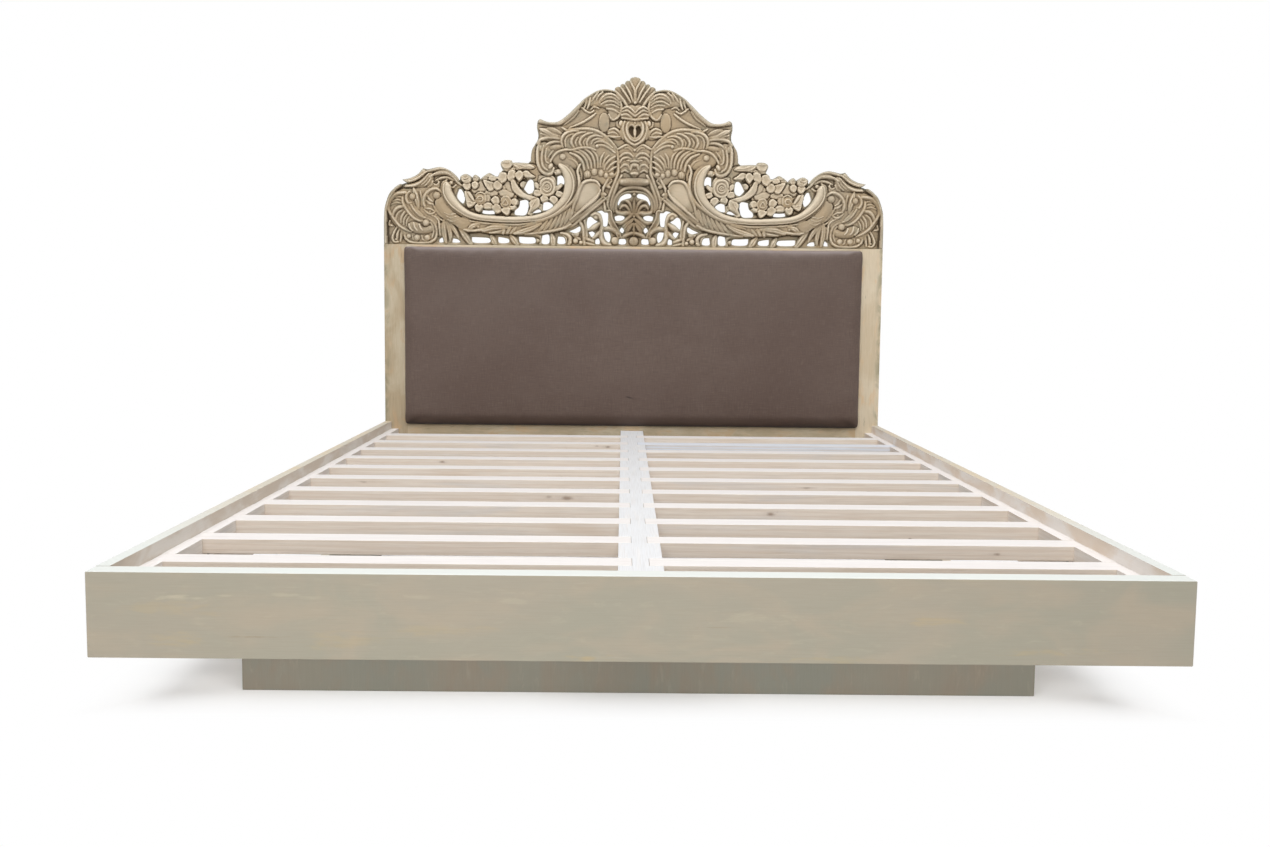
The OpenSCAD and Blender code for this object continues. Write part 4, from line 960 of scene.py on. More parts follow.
SCROLL_STROKES = [
    ("f", [[189, 59.6, 8], [188.4, 53, 9.6], [184.8, 46, 9.8], [179.6, 40, 8.6], [172.6, 34.4, 7.2],
     [165, 30.4, 6.6], [155, 28, 6.4], [140, 26.8, 6.4], [125, 26.2, 6.4], [110, 26.8, 6.4], [97, 28.6, 6.8],
     [86, 32.6, 7.4], [77.4, 38.6, 8.6], [70.4, 46, 9.6], [66.4, 54, 10.6], [65.4, 62, 11], [66.6, 70, 10],
     [70.4, 77, 7.6], [75, 81, 4]]),
    ("r", [[166, 24.4, 1.2], [155, 22.6, 1.6], [140, 21.4, 1.8], [120, 20.9, 1.8], [105, 22.4, 2],
     [92, 25.6, 2.2], [80, 31, 2.4], [70.4, 37.6, 2.6], [62.4, 44.6, 2.8], [57.6, 52, 2.8], [55.6, 60, 2.6],
     [56, 69, 2.4], [57.4, 76, 2], [54.6, 82.4, 1.6]]),
    ("r", [[60.6, 58, 1.4], [59.8, 66, 2.2], [61, 74, 2], [64.6, 80, 1.4]]),
    ("b", [[168, 14.4, 1.6], [163, 19, 4.2], [156.6, 21, 2]]),
    ("r", [[172, 15.6, 1.2], [165, 14.6, 2], [156, 15.4, 2], [149, 17.6, 1.4]]),
    ("b", [[153, 14.6, 2], [144, 17.4, 4.4], [134, 18.2, 3.4], [124, 17.8, 1.6]]),
    ("r", [[146, 12.6, 1.2], [138, 13.6, 2], [131.6, 15.4, 1.6]]),
    ("b", [[132.4, 12, 1.6], [131.6, 15.4, 2.8], [132.4, 18.6, 1.6]]),
    ("b", [[128.4, 12.4, 1.4], [126.4, 15.6, 2.6], [124.8, 18.8, 1.4]]),
    ("b", [[124.4, 12.6, 1.4], [121.4, 15.4, 2.4], [119, 18.4, 1.4]]),
    ("b", [[121, 12.2, 1.8], [112, 14.4, 4], [102, 18, 3.8], [94, 22.4, 2]]),
    ("r", [[113, 18.8, 1.2], [106, 20.4, 1.8], [98, 22.6, 1.2]]),
    ("r", [[110, 11.8, 1.4], [98, 13, 2.2], [84, 15.2, 2.4], [72, 18, 2.2], [64, 22, 1.6]]),
    ("b", [[96, 15, 1.6], [91.6, 19.6, 3], [87.6, 25, 1.6]]),
    ("b", [[90.6, 16, 1.6], [86.4, 20.8, 3], [82.8, 27, 1.6]]),
    ("b", [[85.2, 17, 1.6], [81.2, 22.2, 3], [78, 29, 1.6]]),
    ("b", [[79.8, 18.2, 1.6], [76.4, 24, 3], [73.8, 31.4, 1.6]]),
    ("b", [[74.6, 20, 1.6], [71.8, 26, 3], [69.4, 34, 1.6]]),
    ("b", [[69.8, 22.6, 1.6], [67.2, 29, 3], [64.8, 37.2, 1.6]]),
    ("b", [[65, 27.2, 1.6], [63, 33.6, 2.8], [61, 40.4, 1.4]]),
    ("r", [[34.6, 61, 1.4], [38.6, 65.4, 2.2], [45, 66.2, 2.6], [51, 64, 2.8], [54.8, 57.6, 3], [57.6, 49, 3],
     [61, 41, 2.6], [61.6, 36.4, 1.6]]),
    ("r", [[34, 57, 1.2], [37, 50.6, 2], [43, 44.4, 2.4], [50.6, 38.4, 2.4], [57.6, 32.4, 2.2],
     [64.6, 26, 1.6]]),
    ("r", [[31.6, 50.6, 1.6], [36, 45.6, 2.6], [43.6, 39.4, 3], [52, 32.6, 3], [60.6, 25.8, 2.8],
     [68.4, 20.6, 2]]),
    ("k", [[39, 50, 1], [46, 43.6, 1.4], [54, 37, 1]]),
    ("r", [[25, 51.6, 1.4], [31, 46.6, 2.2], [38.6, 40.4, 2.6], [47.4, 33, 2.8], [55, 26.6, 2.6], [62, 21, 2],
     [70, 17.4, 1.4]]),
    ("r", [[12.8, 72, 1.8], [16.4, 65, 2.6], [19.4, 57, 2.8], [22, 49, 2.8], [23.4, 42, 2.6], [22.6, 37, 2]]),
    ("r", [[17.4, 98, 1.6], [16.8, 90, 2.4], [16.4, 82, 2.6], [16.6, 75, 2.4], [19.4, 66, 2.4],
     [22.8, 57.6, 2.4], [25.4, 50, 2.4], [26.8, 43, 2.2], [25.2, 37.4, 1.6]]),
    ("r", [[25.6, 70, 1.4], [28.4, 64.6, 2.2], [31.2, 59, 2], [31.6, 55.6, 1.2]]),
    ("r", [[22.6, 66.6, 1.2], [25.6, 63.4, 1.8], [29.4, 60.4, 1.2]]),
    ("r", [[30.2, 44.4, 1.4], [29.4, 39.4, 2.4], [28.6, 34.6, 2]]),
    ("r", [[33.4, 50.4, 1], [29.6, 49.4, 1.6], [27.4, 46.6, 1.2]]),
    ("r", [[65, 94, 1.6], [57.6, 90.6, 2.6], [52.4, 84.6, 2.6], [50.6, 77, 2]]),
    ("r", [[62.6, 96.4, 1.6], [54, 93, 2.4], [48.6, 86.6, 2.4], [46.4, 78.6, 1.8]]),
    ("r", [[57, 97.6, 1.4], [49.4, 93, 2.4], [44.6, 86, 2.4], [43.2, 79, 1.8]]),
    ("r", [[50, 98, 1.4], [43.6, 93, 2.2], [40.6, 86, 2.2], [40, 80, 1.6]]),
    ("r", [[43.6, 97.4, 1.2], [38.6, 92, 2], [37, 86, 2], [36.8, 79.6, 1.6]]),
    ("r", [[66.6, 88.4, 1.4], [60.4, 86, 2.2], [56, 80, 2.2], [53.6, 73, 2], [53.2, 67.4, 1.4]]),
    ("r", [[30.6, 94.4, 1.4], [33.8, 88.4, 2.2], [34.4, 80, 1.6]]),
    ("r", [[25.6, 92, 1.4], [30.2, 87, 2], [32, 80, 1.6]]),
    ("r", [[19.6, 91, 1.4], [24.6, 87.6, 2.2], [29, 82.6, 2], [30.6, 77.6, 1.4]]),
    ("r", [[18.8, 86, 1.4], [23.6, 82.6, 2], [27.6, 78, 1.6]]),
    ("r", [[18.6, 80.6, 1.2], [22, 78.6, 1.8], [25.6, 75.6, 1.4]]),
    ("r", [[18.2, 75.6, 1], [20.8, 71.4, 1.6], [24, 69.6, 1.2]]),
    ("k", [[48.8, 75, 0.8], [48.6, 72, 1.2], [48.4, 69, 0.8]]),
    ("k", [[46, 75.4, 0.8], [46, 72, 1.2], [46, 69, 0.8]]),
    ("r", [[95.6, 105, 1.8], [97.4, 98, 2.6], [97.6, 90, 3], [96.8, 82, 3], [93.6, 75.6, 3], [88, 72.4, 2.8],
     [83.2, 74, 2.4], [81.4, 78.6, 1.6]]),
    ("r", [[91.6, 101, 1.4], [93, 94, 2.2], [93.4, 86, 2.4], [91.8, 79.6, 2.4], [88, 76.4, 1.8]]),
    ("r", [[88.6, 98, 1.2], [89.8, 91, 2], [89, 85, 2], [86.6, 83.4, 1.2]]),
    ("r", [[85, 84.4, 1.2], [82.6, 89, 2], [77.6, 94.4, 2.4], [70, 97, 2.4], [63.6, 96.6, 1.6]]),
    ("r", [[88, 86.4, 1], [85.6, 91.6, 1.6], [82, 96, 1.2]]),
    ("r", [[98.4, 103, 1.8], [94.4, 107, 2.6], [87, 109, 2.8], [79.6, 108.6, 2.4], [74.6, 107.6, 1.6]]),
    ("r", [[90.6, 99, 1.2], [87.6, 102.6, 2.2], [81, 104.8, 2.4], [75, 104.6, 1.6]]),
    ("b", [[95, 117.6, 2], [89.6, 115, 4], [83.6, 111.8, 3], [78, 110.6, 1.6]]),
    ("b", [[88, 118.4, 1.6], [81, 116.8, 3.4], [74.6, 113.6, 2]]),
    ("r", [[94.4, 113, 1.2], [89.6, 111.4, 2], [85, 110.8, 1.4]]),
    ("r", [[72.4, 99.6, 1.6], [73.8, 106, 2.6], [71, 112, 2.8], [64.6, 115.4, 2.4], [57, 116, 1.6]]),
    ("r", [[69.4, 100, 1.2], [70, 105.6, 1.8], [67.6, 110.6, 1.8], [62, 113, 1.4]]),
    ("r", [[61.4, 99.6, 1.8], [63.8, 104.6, 2.6], [61.6, 110.4, 2.6], [55.6, 114, 2.2], [50, 115, 1.4]]),
    ("r", [[58.6, 101, 1.2], [59.6, 105, 1.8], [57, 109.4, 1.4]]),
    ("r", [[53.4, 100, 1.8], [55.4, 104.6, 2.4], [53.2, 109.6, 2.4], [47.6, 113.2, 2], [42.6, 114.2, 1.4]]),
    ("r", [[50.8, 101.6, 1.2], [51.4, 105, 1.6], [49, 108.6, 1.2]]),
    ("r", [[47.4, 100.6, 1.8], [48.2, 105, 2.4], [45, 109.6, 2.4], [39, 111.6, 2], [33, 110.4, 1.4]]),
    ("r", [[43.8, 103, 1.2], [42, 106.6, 1.8], [37, 108.4, 2], [31, 106.4, 1.6]]),
    ("r", [[40.6, 104, 1.4], [35, 106, 2.2], [28.6, 104, 2.2], [22.6, 99.6, 1.6]]),
    ("r", [[38, 101.6, 2], [32, 101.8, 2.4], [25.6, 99, 2.2], [20, 94.6, 1.6]]),
    ("r", [[71, 97.6, 1.2], [63, 97, 2], [55, 99, 2.2], [46.6, 99.4, 2.2], [39.6, 97, 1.6]]),
    ("r", [[66.6, 117.2, 2], [56, 118, 2.8], [46, 118, 3], [37, 115.6, 3], [29.4, 110.8, 2.6],
     [22.6, 104.4, 2.2], [17.8, 98.6, 1.6]]),
]
SCROLL_BEADS = [
    [72.4, 90, 6.6], [157.4, 18.6, 3], [37.8, 101, 3.6], [23.4, 67.6, 2],
]

# Upper part, with the shell
TOP_MASSES = [
    ([[98, 124], [90, 122.4], [80, 121.6], [74, 122.4], [66.6, 127], [60, 133], [55.6, 138.6], [51, 144],
     [44, 150], [36, 154.6], [28, 156], [20, 154.6], [20, 158], [29, 160], [38, 158], [46, 154], [53, 149],
     [60, 141.6], [70, 132], [76, 127], [86, 126], [96, 129]], 31, 3),
    ([[50, 146], [42, 152], [30, 155], [21, 153.6], [14.6, 147], [13.6, 138], [16, 130], [20, 127], [26, 128],
     [28, 138], [38, 141], [48, 141]], 29, 4),
    ([[14, 137], [8, 142], [-1, 141], [-1, 127], [10, 128], [15, 131]], 31, 4),
    ([[15, 126], [14, 116], [10, 106], [4, 101], [-1, 100], [-1, 127], [8, 127.6]], 28, 3),
    ([[28, 118], [20, 120], [13, 116], [12, 110], [18, 108], [27, 112]], 27, 3),
    ([[17, 97], [9, 103.6], [-1, 101], [-1, 70], [8, 76], [15, 76]], 26, 4),
]
TOP_PETALS = [
    [14.2, 123.8, 6.4, 4.2, 100, 7], [6, 87, 5, 2, 0, 4], [31, 125, 18, 10, 90, 2],
]
TOP_STROKES = [
    ("r", [[66, 119.4, 1], [58, 122.4, 1.8], [50.6, 126, 2], [43.6, 130.6, 2], [39.4, 134, 1.4]]),
    ("r", [[73.6, 119.6, 1.2], [70, 117.4, 2], [66.4, 115, 1.4]]),
    ("k", [[71, 122.6, 1], [62, 129.4, 1.6], [56.6, 136.4, 1.2]]),
    ("r", [[43.6, 145.6, 1.2], [40.4, 150.4, 2], [37, 154.6, 1.4]]),
    ("r", [[39, 146.6, 1.2], [36.6, 151.4, 2], [32.6, 155, 1.4]]),
    ("r", [[36, 144, 1.4], [33.4, 149, 2.4], [28, 152.6, 2.4], [21.6, 152.4, 2.2], [15.6, 147.6, 1.6]]),
    ("r", [[33.6, 146, 1.2], [28.4, 149.4, 2], [22, 149.2, 2], [15.8, 144.6, 1.4]]),
    ("r", [[34.4, 142.6, 1.2], [28, 145.8, 2.2], [21, 145.4, 2], [16, 142, 1.4]]),
    ("r", [[29.4, 142, 1.2], [22.4, 142.2, 1.8], [16.4, 139.4, 1.4]]),
    ("r", [[28.6, 138.6, 1.2], [22, 137.6, 2], [16.6, 134.6, 1.4]]),
    ("r", [[14.6, 146, 1.6], [13.8, 140, 2.4], [14.6, 134.6, 2.4], [17.6, 130, 2], [21.4, 127.6, 1.4]]),
    ("r", [[26.4, 133, 1.2], [24.4, 129.4, 1.6], [21.8, 127.4, 1]]),
    ("r", [[51.6, 138, 1.2], [49.6, 143, 2], [48.6, 148, 1.4]]),
    ("r", [[48, 138.6, 1.2], [46, 143.6, 2], [45, 149, 1.4]]),
    ("r", [[53.6, 139.6, 1.2], [50, 136.6, 1.8], [45.6, 134.4, 1.6], [41.4, 136.6, 1.4]]),
    ("r", [[44.4, 137.6, 1], [41.4, 140.6, 1.6], [36.6, 139, 1.2]]),
    ("r", [[13, 138, 1.2], [9, 140.4, 2], [4.6, 139, 2], [1, 135.4, 1.8], [-1, 133.6, 1.4]]),
    ("r", [[12.6, 135.6, 1.2], [8, 136.8, 2], [4, 134, 2], [-1, 130.4, 1.8]]),
    ("r", [[14, 132.4, 1.4], [8.4, 132.8, 2.2], [3.6, 130, 1.6]]),
    ("r", [[13.4, 129.4, 1.2], [6, 128.6, 2.2], [-1, 127.4, 2.4]]),
    ("r", [[18, 125.8, 1], [17.6, 121.6, 1.6], [14.6, 119.6, 1.6], [11.6, 121.6, 1.2]]),
    ("r", [[10.4, 126, 1.6], [12.2, 119, 2.6], [10.4, 111.4, 2.6], [5.6, 105.4, 2.4], [-1, 102, 2]]),
    ("r", [[6, 125.6, 1.4], [8.2, 121.6, 2.2], [8, 114.6, 2.2], [4.4, 108.6, 2], [-1, 106, 1.6]]),
    ("r", [[13.8, 119, 1.4], [13.6, 113.6, 2.6], [11.6, 108.6, 1.4]]),
    ("r", [[25.6, 117.6, 1.2], [20.6, 118.8, 2], [16, 115.6, 2], [14.2, 111.6, 1.4]]),
    ("r", [[26.6, 114, 1.2], [21, 115, 1.8], [17, 112.4, 1.4]]),
    ("r", [[28, 111.6, 1.2], [21, 110.6, 1.8], [14.6, 111, 1.2]]),
    ("r", [[17.6, 98, 1.4], [12.6, 100.6, 2.2], [8, 102.6, 2.2], [3.6, 100, 1.8], [-1, 96.6, 1.4]]),
    ("r", [[10, 99.4, 1], [6.6, 99.8, 1.6], [2.4, 96.4, 1.2]]),
    ("r", [[15, 90.6, 1.4], [11, 93.8, 2.2], [5.6, 94.2, 2.2], [1.6, 91, 1.6]]),
    ("r", [[14.8, 84.6, 1.4], [12.2, 88.6, 2.2], [7.6, 90, 2], [3.6, 88.6, 1.4]]),
    ("r", [[14, 79.6, 1.4], [10.6, 82.8, 2.2], [6.6, 82, 2], [5.2, 78.4, 1.4]]),
    ("r", [[13, 75.6, 1.2], [9.6, 77.4, 1.8], [6.4, 75.4, 1.2]]),
    ("r", [[-1, 86.6, 2.6], [3.6, 86, 2.2]]),
    ("r", [[-1, 82.4, 4], [2.6, 82, 3], [4, 78, 2]]),
    ("r", [[-1, 74.4, 3], [2.6, 74, 2.4]]),
    ("r", [[-2, 65.2, 6.4], [6, 65.2, 6.4], [12.4, 65.6, 5]]),
    ("r", [[0.6, 146, 1.6], [0.4, 156, 1.8], [2.6, 161.6, 1.7], [5.4, 166.8, 1.4]]),
    ("r", [[2, 146, 1.6], [5.6, 155, 1.9], [10.6, 163.4, 1.5]]),
    ("r", [[4.6, 145.6, 1.6], [10, 154, 1.9], [15.2, 160.8, 1.5]]),
    ("r", [[7.6, 141, 2.2], [13, 148.6, 2.8], [20.4, 156.6, 2.2]]),
]
TOP_BEADS = [
    [0, 145, 3.6], [0, 97.4, 3.4], [0, 124.6, 3],
]

# Openwork in the middle and along the foot
CENTRE_STROKES = [
    ("r", [[-2, 60, 3], [8.6, 58.8, 3], [15.4, 54, 3], [19.4, 47.4, 3], [21, 41, 2.8], [20.6, 35.6, 2]]),
    ("r", [[-2, 56, 2], [8.4, 54.6, 2.2], [14, 50.6, 2.2], [17.4, 44.6, 2.2], [18.4, 38.6, 2.4],
     [16.6, 34.6, 3.4], [12, 33, 4.6], [7, 34, 4], [3, 33, 3]]),
    ("r", [[18.4, 36.4, 1.4], [16.2, 34.2, 2.2], [14.4, 36.2, 1.4]]),
    ("r", [[14.2, 38.4, 1.6], [11.6, 41.4, 2.6], [8, 41, 2.6], [5.2, 37.6, 2.2], [2.6, 33, 1.6]]),
    ("r", [[14.4, 46, 1.6], [10, 47.4, 2.6], [5.6, 45, 2.6], [3, 40, 2.2], [1.2, 34, 1.6]]),
    ("r", [[17.8, 25, 2], [13.4, 24, 3.4], [9.4, 25.6, 3.8], [6, 29, 3.4], [1.4, 33, 2.4]]),
    ("r", [[-2, 49, 3], [-1, 42, 4], [-1, 34, 3]]),
    ("b", [[10.6, 15.4, 2], [9.6, 20, 4.4], [4.6, 24.6, 3.4], [0.6, 28.4, 2]]),
    ("b", [[8, 13.4, 1.6], [5.6, 18, 3.4], [1.6, 23, 2.2]]),
    ("b", [[-1, 12, 3], [-1, 18, 3.6], [-1, 25, 2]]),
    ("r", [[12, 8.4, 2], [8.4, 11.4, 3.2], [3, 13.4, 3], [-2, 14, 2.4]]),
    ("h", [[25.4, 34, 5], [24.6, 28, 5], [20.6, 21, 4.2], [16.2, 14.4, 3.6], [13.8, 6.6, 3.2]]),
    ("r", [[31, 17.2, 2], [26, 18.6, 4], [20.6, 17, 4.2], [15.6, 12.6, 3]]),
    ("r", [[24, 1.6, 3], [29.6, 3.4, 4], [33, 9, 4], [32.6, 16, 3.8], [31.8, 23, 3.8], [34, 29.6, 4],
     [38.6, 32.6, 4], [42.6, 30.4, 3.6], [42.8, 27.4, 2.4]]),
    ("r", [[46, 17, 3], [40.6, 19.4, 4.8], [35.4, 23, 3]]),
    ("r", [[41, 8.6, 2.6], [37, 11.8, 3.6], [33.4, 16, 2.4]]),
    ("r", [[55.6, 26, 2], [51.8, 19, 3], [50.6, 10.6, 3], [50, 2.4, 2.6]]),
    ("r", [[50, 26, 1.6], [48, 17, 2.4], [47.8, 9, 2.4]]),
    ("r", [[50, 8.6, 2], [45.6, 6.6, 3], [41, 5, 2.6]]),
    ("r", [[50, 4, 1.6], [45, 2.6, 2.4], [40.6, 1.6, 1.8]]),
    ("r", [[74, 13.4, 2], [67.6, 11.6, 3], [64.4, 7.4, 3.4], [65.6, 2.4, 3]]),
    ("r", [[71.6, 10.4, 1.2], [68.6, 7.6, 2], [68.8, 3.4, 1.6]]),
    ("r", [[112, 12, 2], [103, 11.4, 2.6], [96, 10, 2.8], [93.4, 6.4, 2.8], [94.6, 2, 2.4]]),
    ("b", [[83.4, 11.4, 2.4], [82, 6.6, 5], [81.6, 1.6, 4]]),
    ("b", [[144.4, 9.4, 2.4], [142.6, 5, 5], [140.6, 1.6, 3.4]]),
    ("b", [[124.6, 10, 2.4], [121.4, 5.8, 5], [118.6, 1.6, 3.4]]),
    ("r", [[62, 12, 2], [58.6, 9.6, 2.6], [54.8, 7, 2]]),
]
CENTRE_BEADS = [
    [0, 5.6, 9.4], [0, 53, 3.4], [0, 30.6, 3], [38.8, 29.2, 5.6], [19, 6, 8], [146, 4.4, 3.4],
    [97.6, 5.2, 4.6], [58, 12.4, 6], [59, 5.4, 5.6], [53.6, 3.8, 4.4], [64, 3.6, 2.6],
]

# Outer corner
CORNER_MASSES = [
    ([[256, -4], [256, 20], [255.6, 40], [251, 52], [243, 60], [237, 64], [234.6, 59.4], [239.6, 54.6],
     [245, 47.6], [248.6, 37], [249.4, 26], [249.6, 12], [249.6, -4]], 44, 1.6),
    ([[249, 30], [249, 42], [244, 51], [236, 56], [222, 58], [210, 60], [200, 62], [196, 60], [198, 50],
     [202, 40], [196, 30], [197, 20], [199, 10], [206, 2], [220, 1.4], [232, 6], [238, 15],
     [244, 22]], 30, 5),
    ([[234.4, 65.8], [226, 67.4], [219, 71], [213.6, 76.6], [209.6, 73], [214, 68], [221, 64.6],
     [231, 62.2]], 33, 3),
    ([[231, 57.6], [231, 61], [223, 62.6], [216, 66], [210, 71.6], [204, 72.6], [203, 66], [206, 60],
     [214, 58]], 32, 4),
    ([[199.4, 47], [194, 48.4], [190.6, 42], [184, 34.8], [177, 29.6], [170.6, 26], [163.6, 24.4],
     [166.4, 20], [174.6, 16], [180.6, 19.6], [187, 23.2], [192, 27], [196.4, 31.2], [200.4, 37.4],
     [201.4, 43]], 38, 13),
    ([[229.6, 18], [225, 23], [217, 21.6], [212.6, 17.6], [206, 19.6], [202.4, 17], [205, 12.6], [213, 11],
     [222, 12]], 37, 5),
    ([[198.6, 21], [193.4, 22], [194, 9.4], [198, 9.4]], 30, 3),
]
CORNER_STROKES = [
    ("r", [[230.6, 52.4, 2.6], [240, 51, 3.4], [246.4, 44, 3.2], [248.4, 37.4, 2.8], [246.6, 32, 2.4],
     [242.6, 26, 2.2], [237.4, 19.4, 2.2], [231, 15, 2], [225.6, 12.8, 1.6]]),
    ("k", [[243.6, 43.4, 1.2], [239, 45.2, 2], [234.6, 44, 1.2]]),
    ("k", [[245, 40.6, 1.2], [240, 42.4, 2], [235.6, 41.4, 1.2]]),
    ("k", [[240.6, 47.6, 1.2], [236.6, 48.2, 1.8], [233.6, 46.6, 1.2]]),
    ("r", [[233.4, 38.4, 2.6], [238.4, 37.2, 3.2], [242, 33.6, 2.8], [243.8, 28.6, 1.6]]),
    ("r", [[235, 34.2, 1.6], [238.6, 31.2, 2], [240.4, 26.6, 1.8], [240, 23, 1.2]]),
    ("r", [[231.4, 33.2, 1.8], [234.8, 28, 2.2], [235.6, 22, 1.6]]),
    ("r", [[229.4, 30.4, 1.4], [232.4, 25.4, 2], [232.8, 19.6, 1.4]]),
    ("r", [[227.2, 28, 1.2], [229.6, 23.6, 1.8], [230, 19, 1.2]]),
    ("r", [[233.8, 47.2, 2], [233.4, 42, 2.4], [230.4, 36, 2.4], [226.6, 30.8, 2.4], [222, 26.6, 2.2],
     [217, 24.2, 2], [213.4, 24, 1.4]]),
    ("r", [[226.6, 53.6, 1.6], [229.4, 50.6, 2.4], [230, 46, 2.4], [227.8, 41.8, 2.2], [225, 42.4, 1.4]]),
    ("r", [[225.4, 40.2, 1.6], [221.6, 34.6, 2.4], [216.4, 29.6, 2.4], [211, 27, 1.6]]),
    ("r", [[221.8, 39, 1.2], [218, 33.6, 1.8], [213.6, 29.4, 1.4]]),
    ("b", [[222.6, 56.4, 2], [220.6, 50, 4.4], [218.6, 43, 4], [218, 36.6, 2]]),
    ("r", [[216, 54, 1.6], [214.6, 47, 2], [214.4, 40, 1.6]]),
    ("r", [[194.6, 53, 1.8], [200, 56.8, 2.4], [207, 54.4, 3], [211.6, 48.6, 3.2], [212.6, 42.4, 3],
     [210.8, 37.4, 1.8]]),
    ("r", [[208.6, 49.6, 1.4], [206.6, 45.6, 2.2], [203.6, 43.6, 1.6]]),
    ("r", [[210, 44.6, 1.4], [206.8, 42, 2.4], [203.2, 40.8, 1.4]]),
    ("r", [[212.4, 35.6, 1], [208.4, 32, 1.8], [204.4, 31.2, 2], [200.8, 33.6, 1.2]]),
    ("r", [[211.6, 36.8, 1.2], [206.6, 36.4, 2], [202, 34.4, 1]]),
    ("r", [[203.6, 41.6, 1.4], [200.4, 35.6, 2], [196.6, 30.6, 2], [191, 26.2, 1.4]]),
    ("r", [[199, 28.6, 1.2], [196, 26, 1.8], [192, 24, 1.4]]),
    ("r", [[204.6, 29.6, 1], [200.6, 28, 1.6], [197.6, 24.6, 1.2]]),
    ("k", [[189.6, 29.4, 0.7], [185, 27, 0.9], [179.4, 29, 0.7]]),
    ("k", [[191.6, 32.6, 0.7], [187, 30.6, 0.9], [180.4, 31.8, 0.7]]),
    ("k", [[188.4, 25.8, 0.7], [183, 23.6, 0.9], [177.4, 25.6, 0.7]]),
    ("r", [[209.4, 26.4, 1.6], [204.6, 24.2, 2.2], [201, 19.6, 2.2], [199.6, 13, 2.2], [201, 6.6, 2],
     [206, 2.8, 2], [214, 1.8, 2], [222, 2, 2], [228, 3.6, 2.2], [232, 9, 1.8]]),
    ("r", [[206, 22.6, 1.2], [203.4, 18.6, 1.6], [202.6, 12.6, 1.6], [204.2, 7.4, 1.4]]),
    ("r", [[227.6, 20.6, 1.2], [226, 16.6, 2], [223.6, 14, 1.4]]),
    ("r", [[222.4, 22, 1.2], [221.4, 17.6, 2], [219, 14.2, 1.4]]),
    ("r", [[216.8, 20.4, 1.2], [215.6, 16.8, 1.8], [213.4, 14.4, 1.2]]),
    ("r", [[231.8, 11.6, 1.2], [231.4, 6.4, 2], [227.6, 3.6, 1.4]]),
    ("r", [[224.2, 9.6, 1.2], [223.2, 5.6, 1.6], [219.6, 3.6, 1.2]]),
    ("r", [[214.6, 9.4, 1.2], [213.6, 5.4, 1.6], [209.6, 3.6, 1.2]]),
    ("r", [[240, 17.6, 1.4], [243, 12, 2], [244.6, 6.4, 2.2], [242.6, 2.6, 1.8], [238.8, 2.8, 1.4]]),
    ("r", [[237.6, 15.6, 1.4], [239.6, 10, 2.4], [240, 4.6, 1.6]]),
    ("r", [[235.6, 14.4, 1.2], [235.8, 8.6, 2.2], [236.6, 3.2, 1.4]]),
    ("r", [[247, 24, 1.2], [248, 20, 1.6], [244.4, 19.2, 1.2]]),
    ("b", [[192, 27, 1.4], [192.6, 17, 4.4], [191.4, 7.4, 3.4], [190.4, 2, 1.4]]),
    ("b", [[191, 26.6, 1.4], [187.4, 17.4, 3.8], [185.8, 8, 3], [186.4, 3.4, 1.2]]),
    ("b", [[189.6, 25.4, 1.4], [184, 18.4, 3.4], [179.6, 11.6, 2.8], [177.6, 6.6, 1.2]]),
    ("r", [[197.4, 24, 1.4], [196.6, 16, 2], [196, 10, 1.2]]),
    ("b", [[176.4, 17, 2.4], [171, 9.6, 5], [165.4, 1.6, 3.6]]),
    ("r", [[233.4, 62.8, 1.4], [225.6, 64, 1.8], [218.2, 67, 2], [212.4, 71.6, 1.8], [208.6, 74.4, 1.2]]),
    ("r", [[231, 58.8, 1.6], [222.6, 59.6, 2.4], [215.6, 62.6, 2.2], [210.6, 67.4, 1.8], [207.4, 71.4, 1.2]]),
    ("k", [[214.6, 60.4, 1], [210, 64, 1.6], [206.6, 69.6, 1]]),
    ("k", [[211.4, 59.2, 1], [207.6, 63, 1.6], [204.8, 68, 1]]),
    ("r", [[208.4, 58.6, 1.2], [205, 60, 1.8], [203.4, 64.4, 1.4]]),
    ("r", [[207.4, 67.6, 1.2], [204.6, 69.6, 1.8], [201.8, 71.6, 1.2]]),
    ("r", [[209.4, 73.4, 1.6], [203, 76, 2.6], [194, 77.2, 3], [187, 75.4, 2.8], [181.6, 70.6, 2.4],
     [178, 66, 1.6]]),
    ("r", [[203.4, 70.6, 2], [197, 72.8, 3.4], [189, 72.6, 3.4], [183, 68.8, 2.6], [178.6, 63.6, 2],
     [173, 59.6, 1.4]]),
    ("r", [[200.4, 65.2, 1.2], [194.6, 67.6, 2.2], [188.4, 68, 2.2], [183, 65.4, 1.6]]),
    ("r", [[189.4, 66.2, 1.6], [190.2, 62.6, 2.2], [187.8, 59.4, 2], [183.4, 58.2, 1.8], [180.2, 60.6, 1.4]]),
    ("r", [[202.6, 61.6, 1], [199.6, 60.4, 1.6], [197, 63.6, 1.2]]),
    ("k", [[199, 66.4, 1], [197.4, 62.6, 1.4], [197.6, 58.6, 1]]),
]
CORNER_BEADS = [
    [210.4, 22, 7.2], [223.4, 48.4, 7], [199.4, 50, 8], [185, 62.8, 4.2], [227.6, 8.4, 5], [219.4, 7, 6.6],
    [209, 7, 6.4], [206.2, 33.8, 2.4], [241, 5.2, 2.4],
]


def smooth(points, closed=False, steps=4):
    """Points along the smooth curve through the given ones."""
    p = [np.array(q, float) for q in points]
    if closed:
        p.append(p[0])
    last = len(p) - 1
    line = []
    for i in range(last):
        a, b, c, d = p[max(i - 1, 0)], p[i], p[i + 1], p[min(i + 2, last)]
        for k in range(steps):
            t = k / steps
            bend = (c - a) * t + (2 * a - 5 * b + 4 * c - d) * t * t + (3 * b - a - 3 * c + d) * t**3
            line.append(b + 0.5 * bend)
    line.append(p[last])
    return np.array(line[:-1] if closed else line)


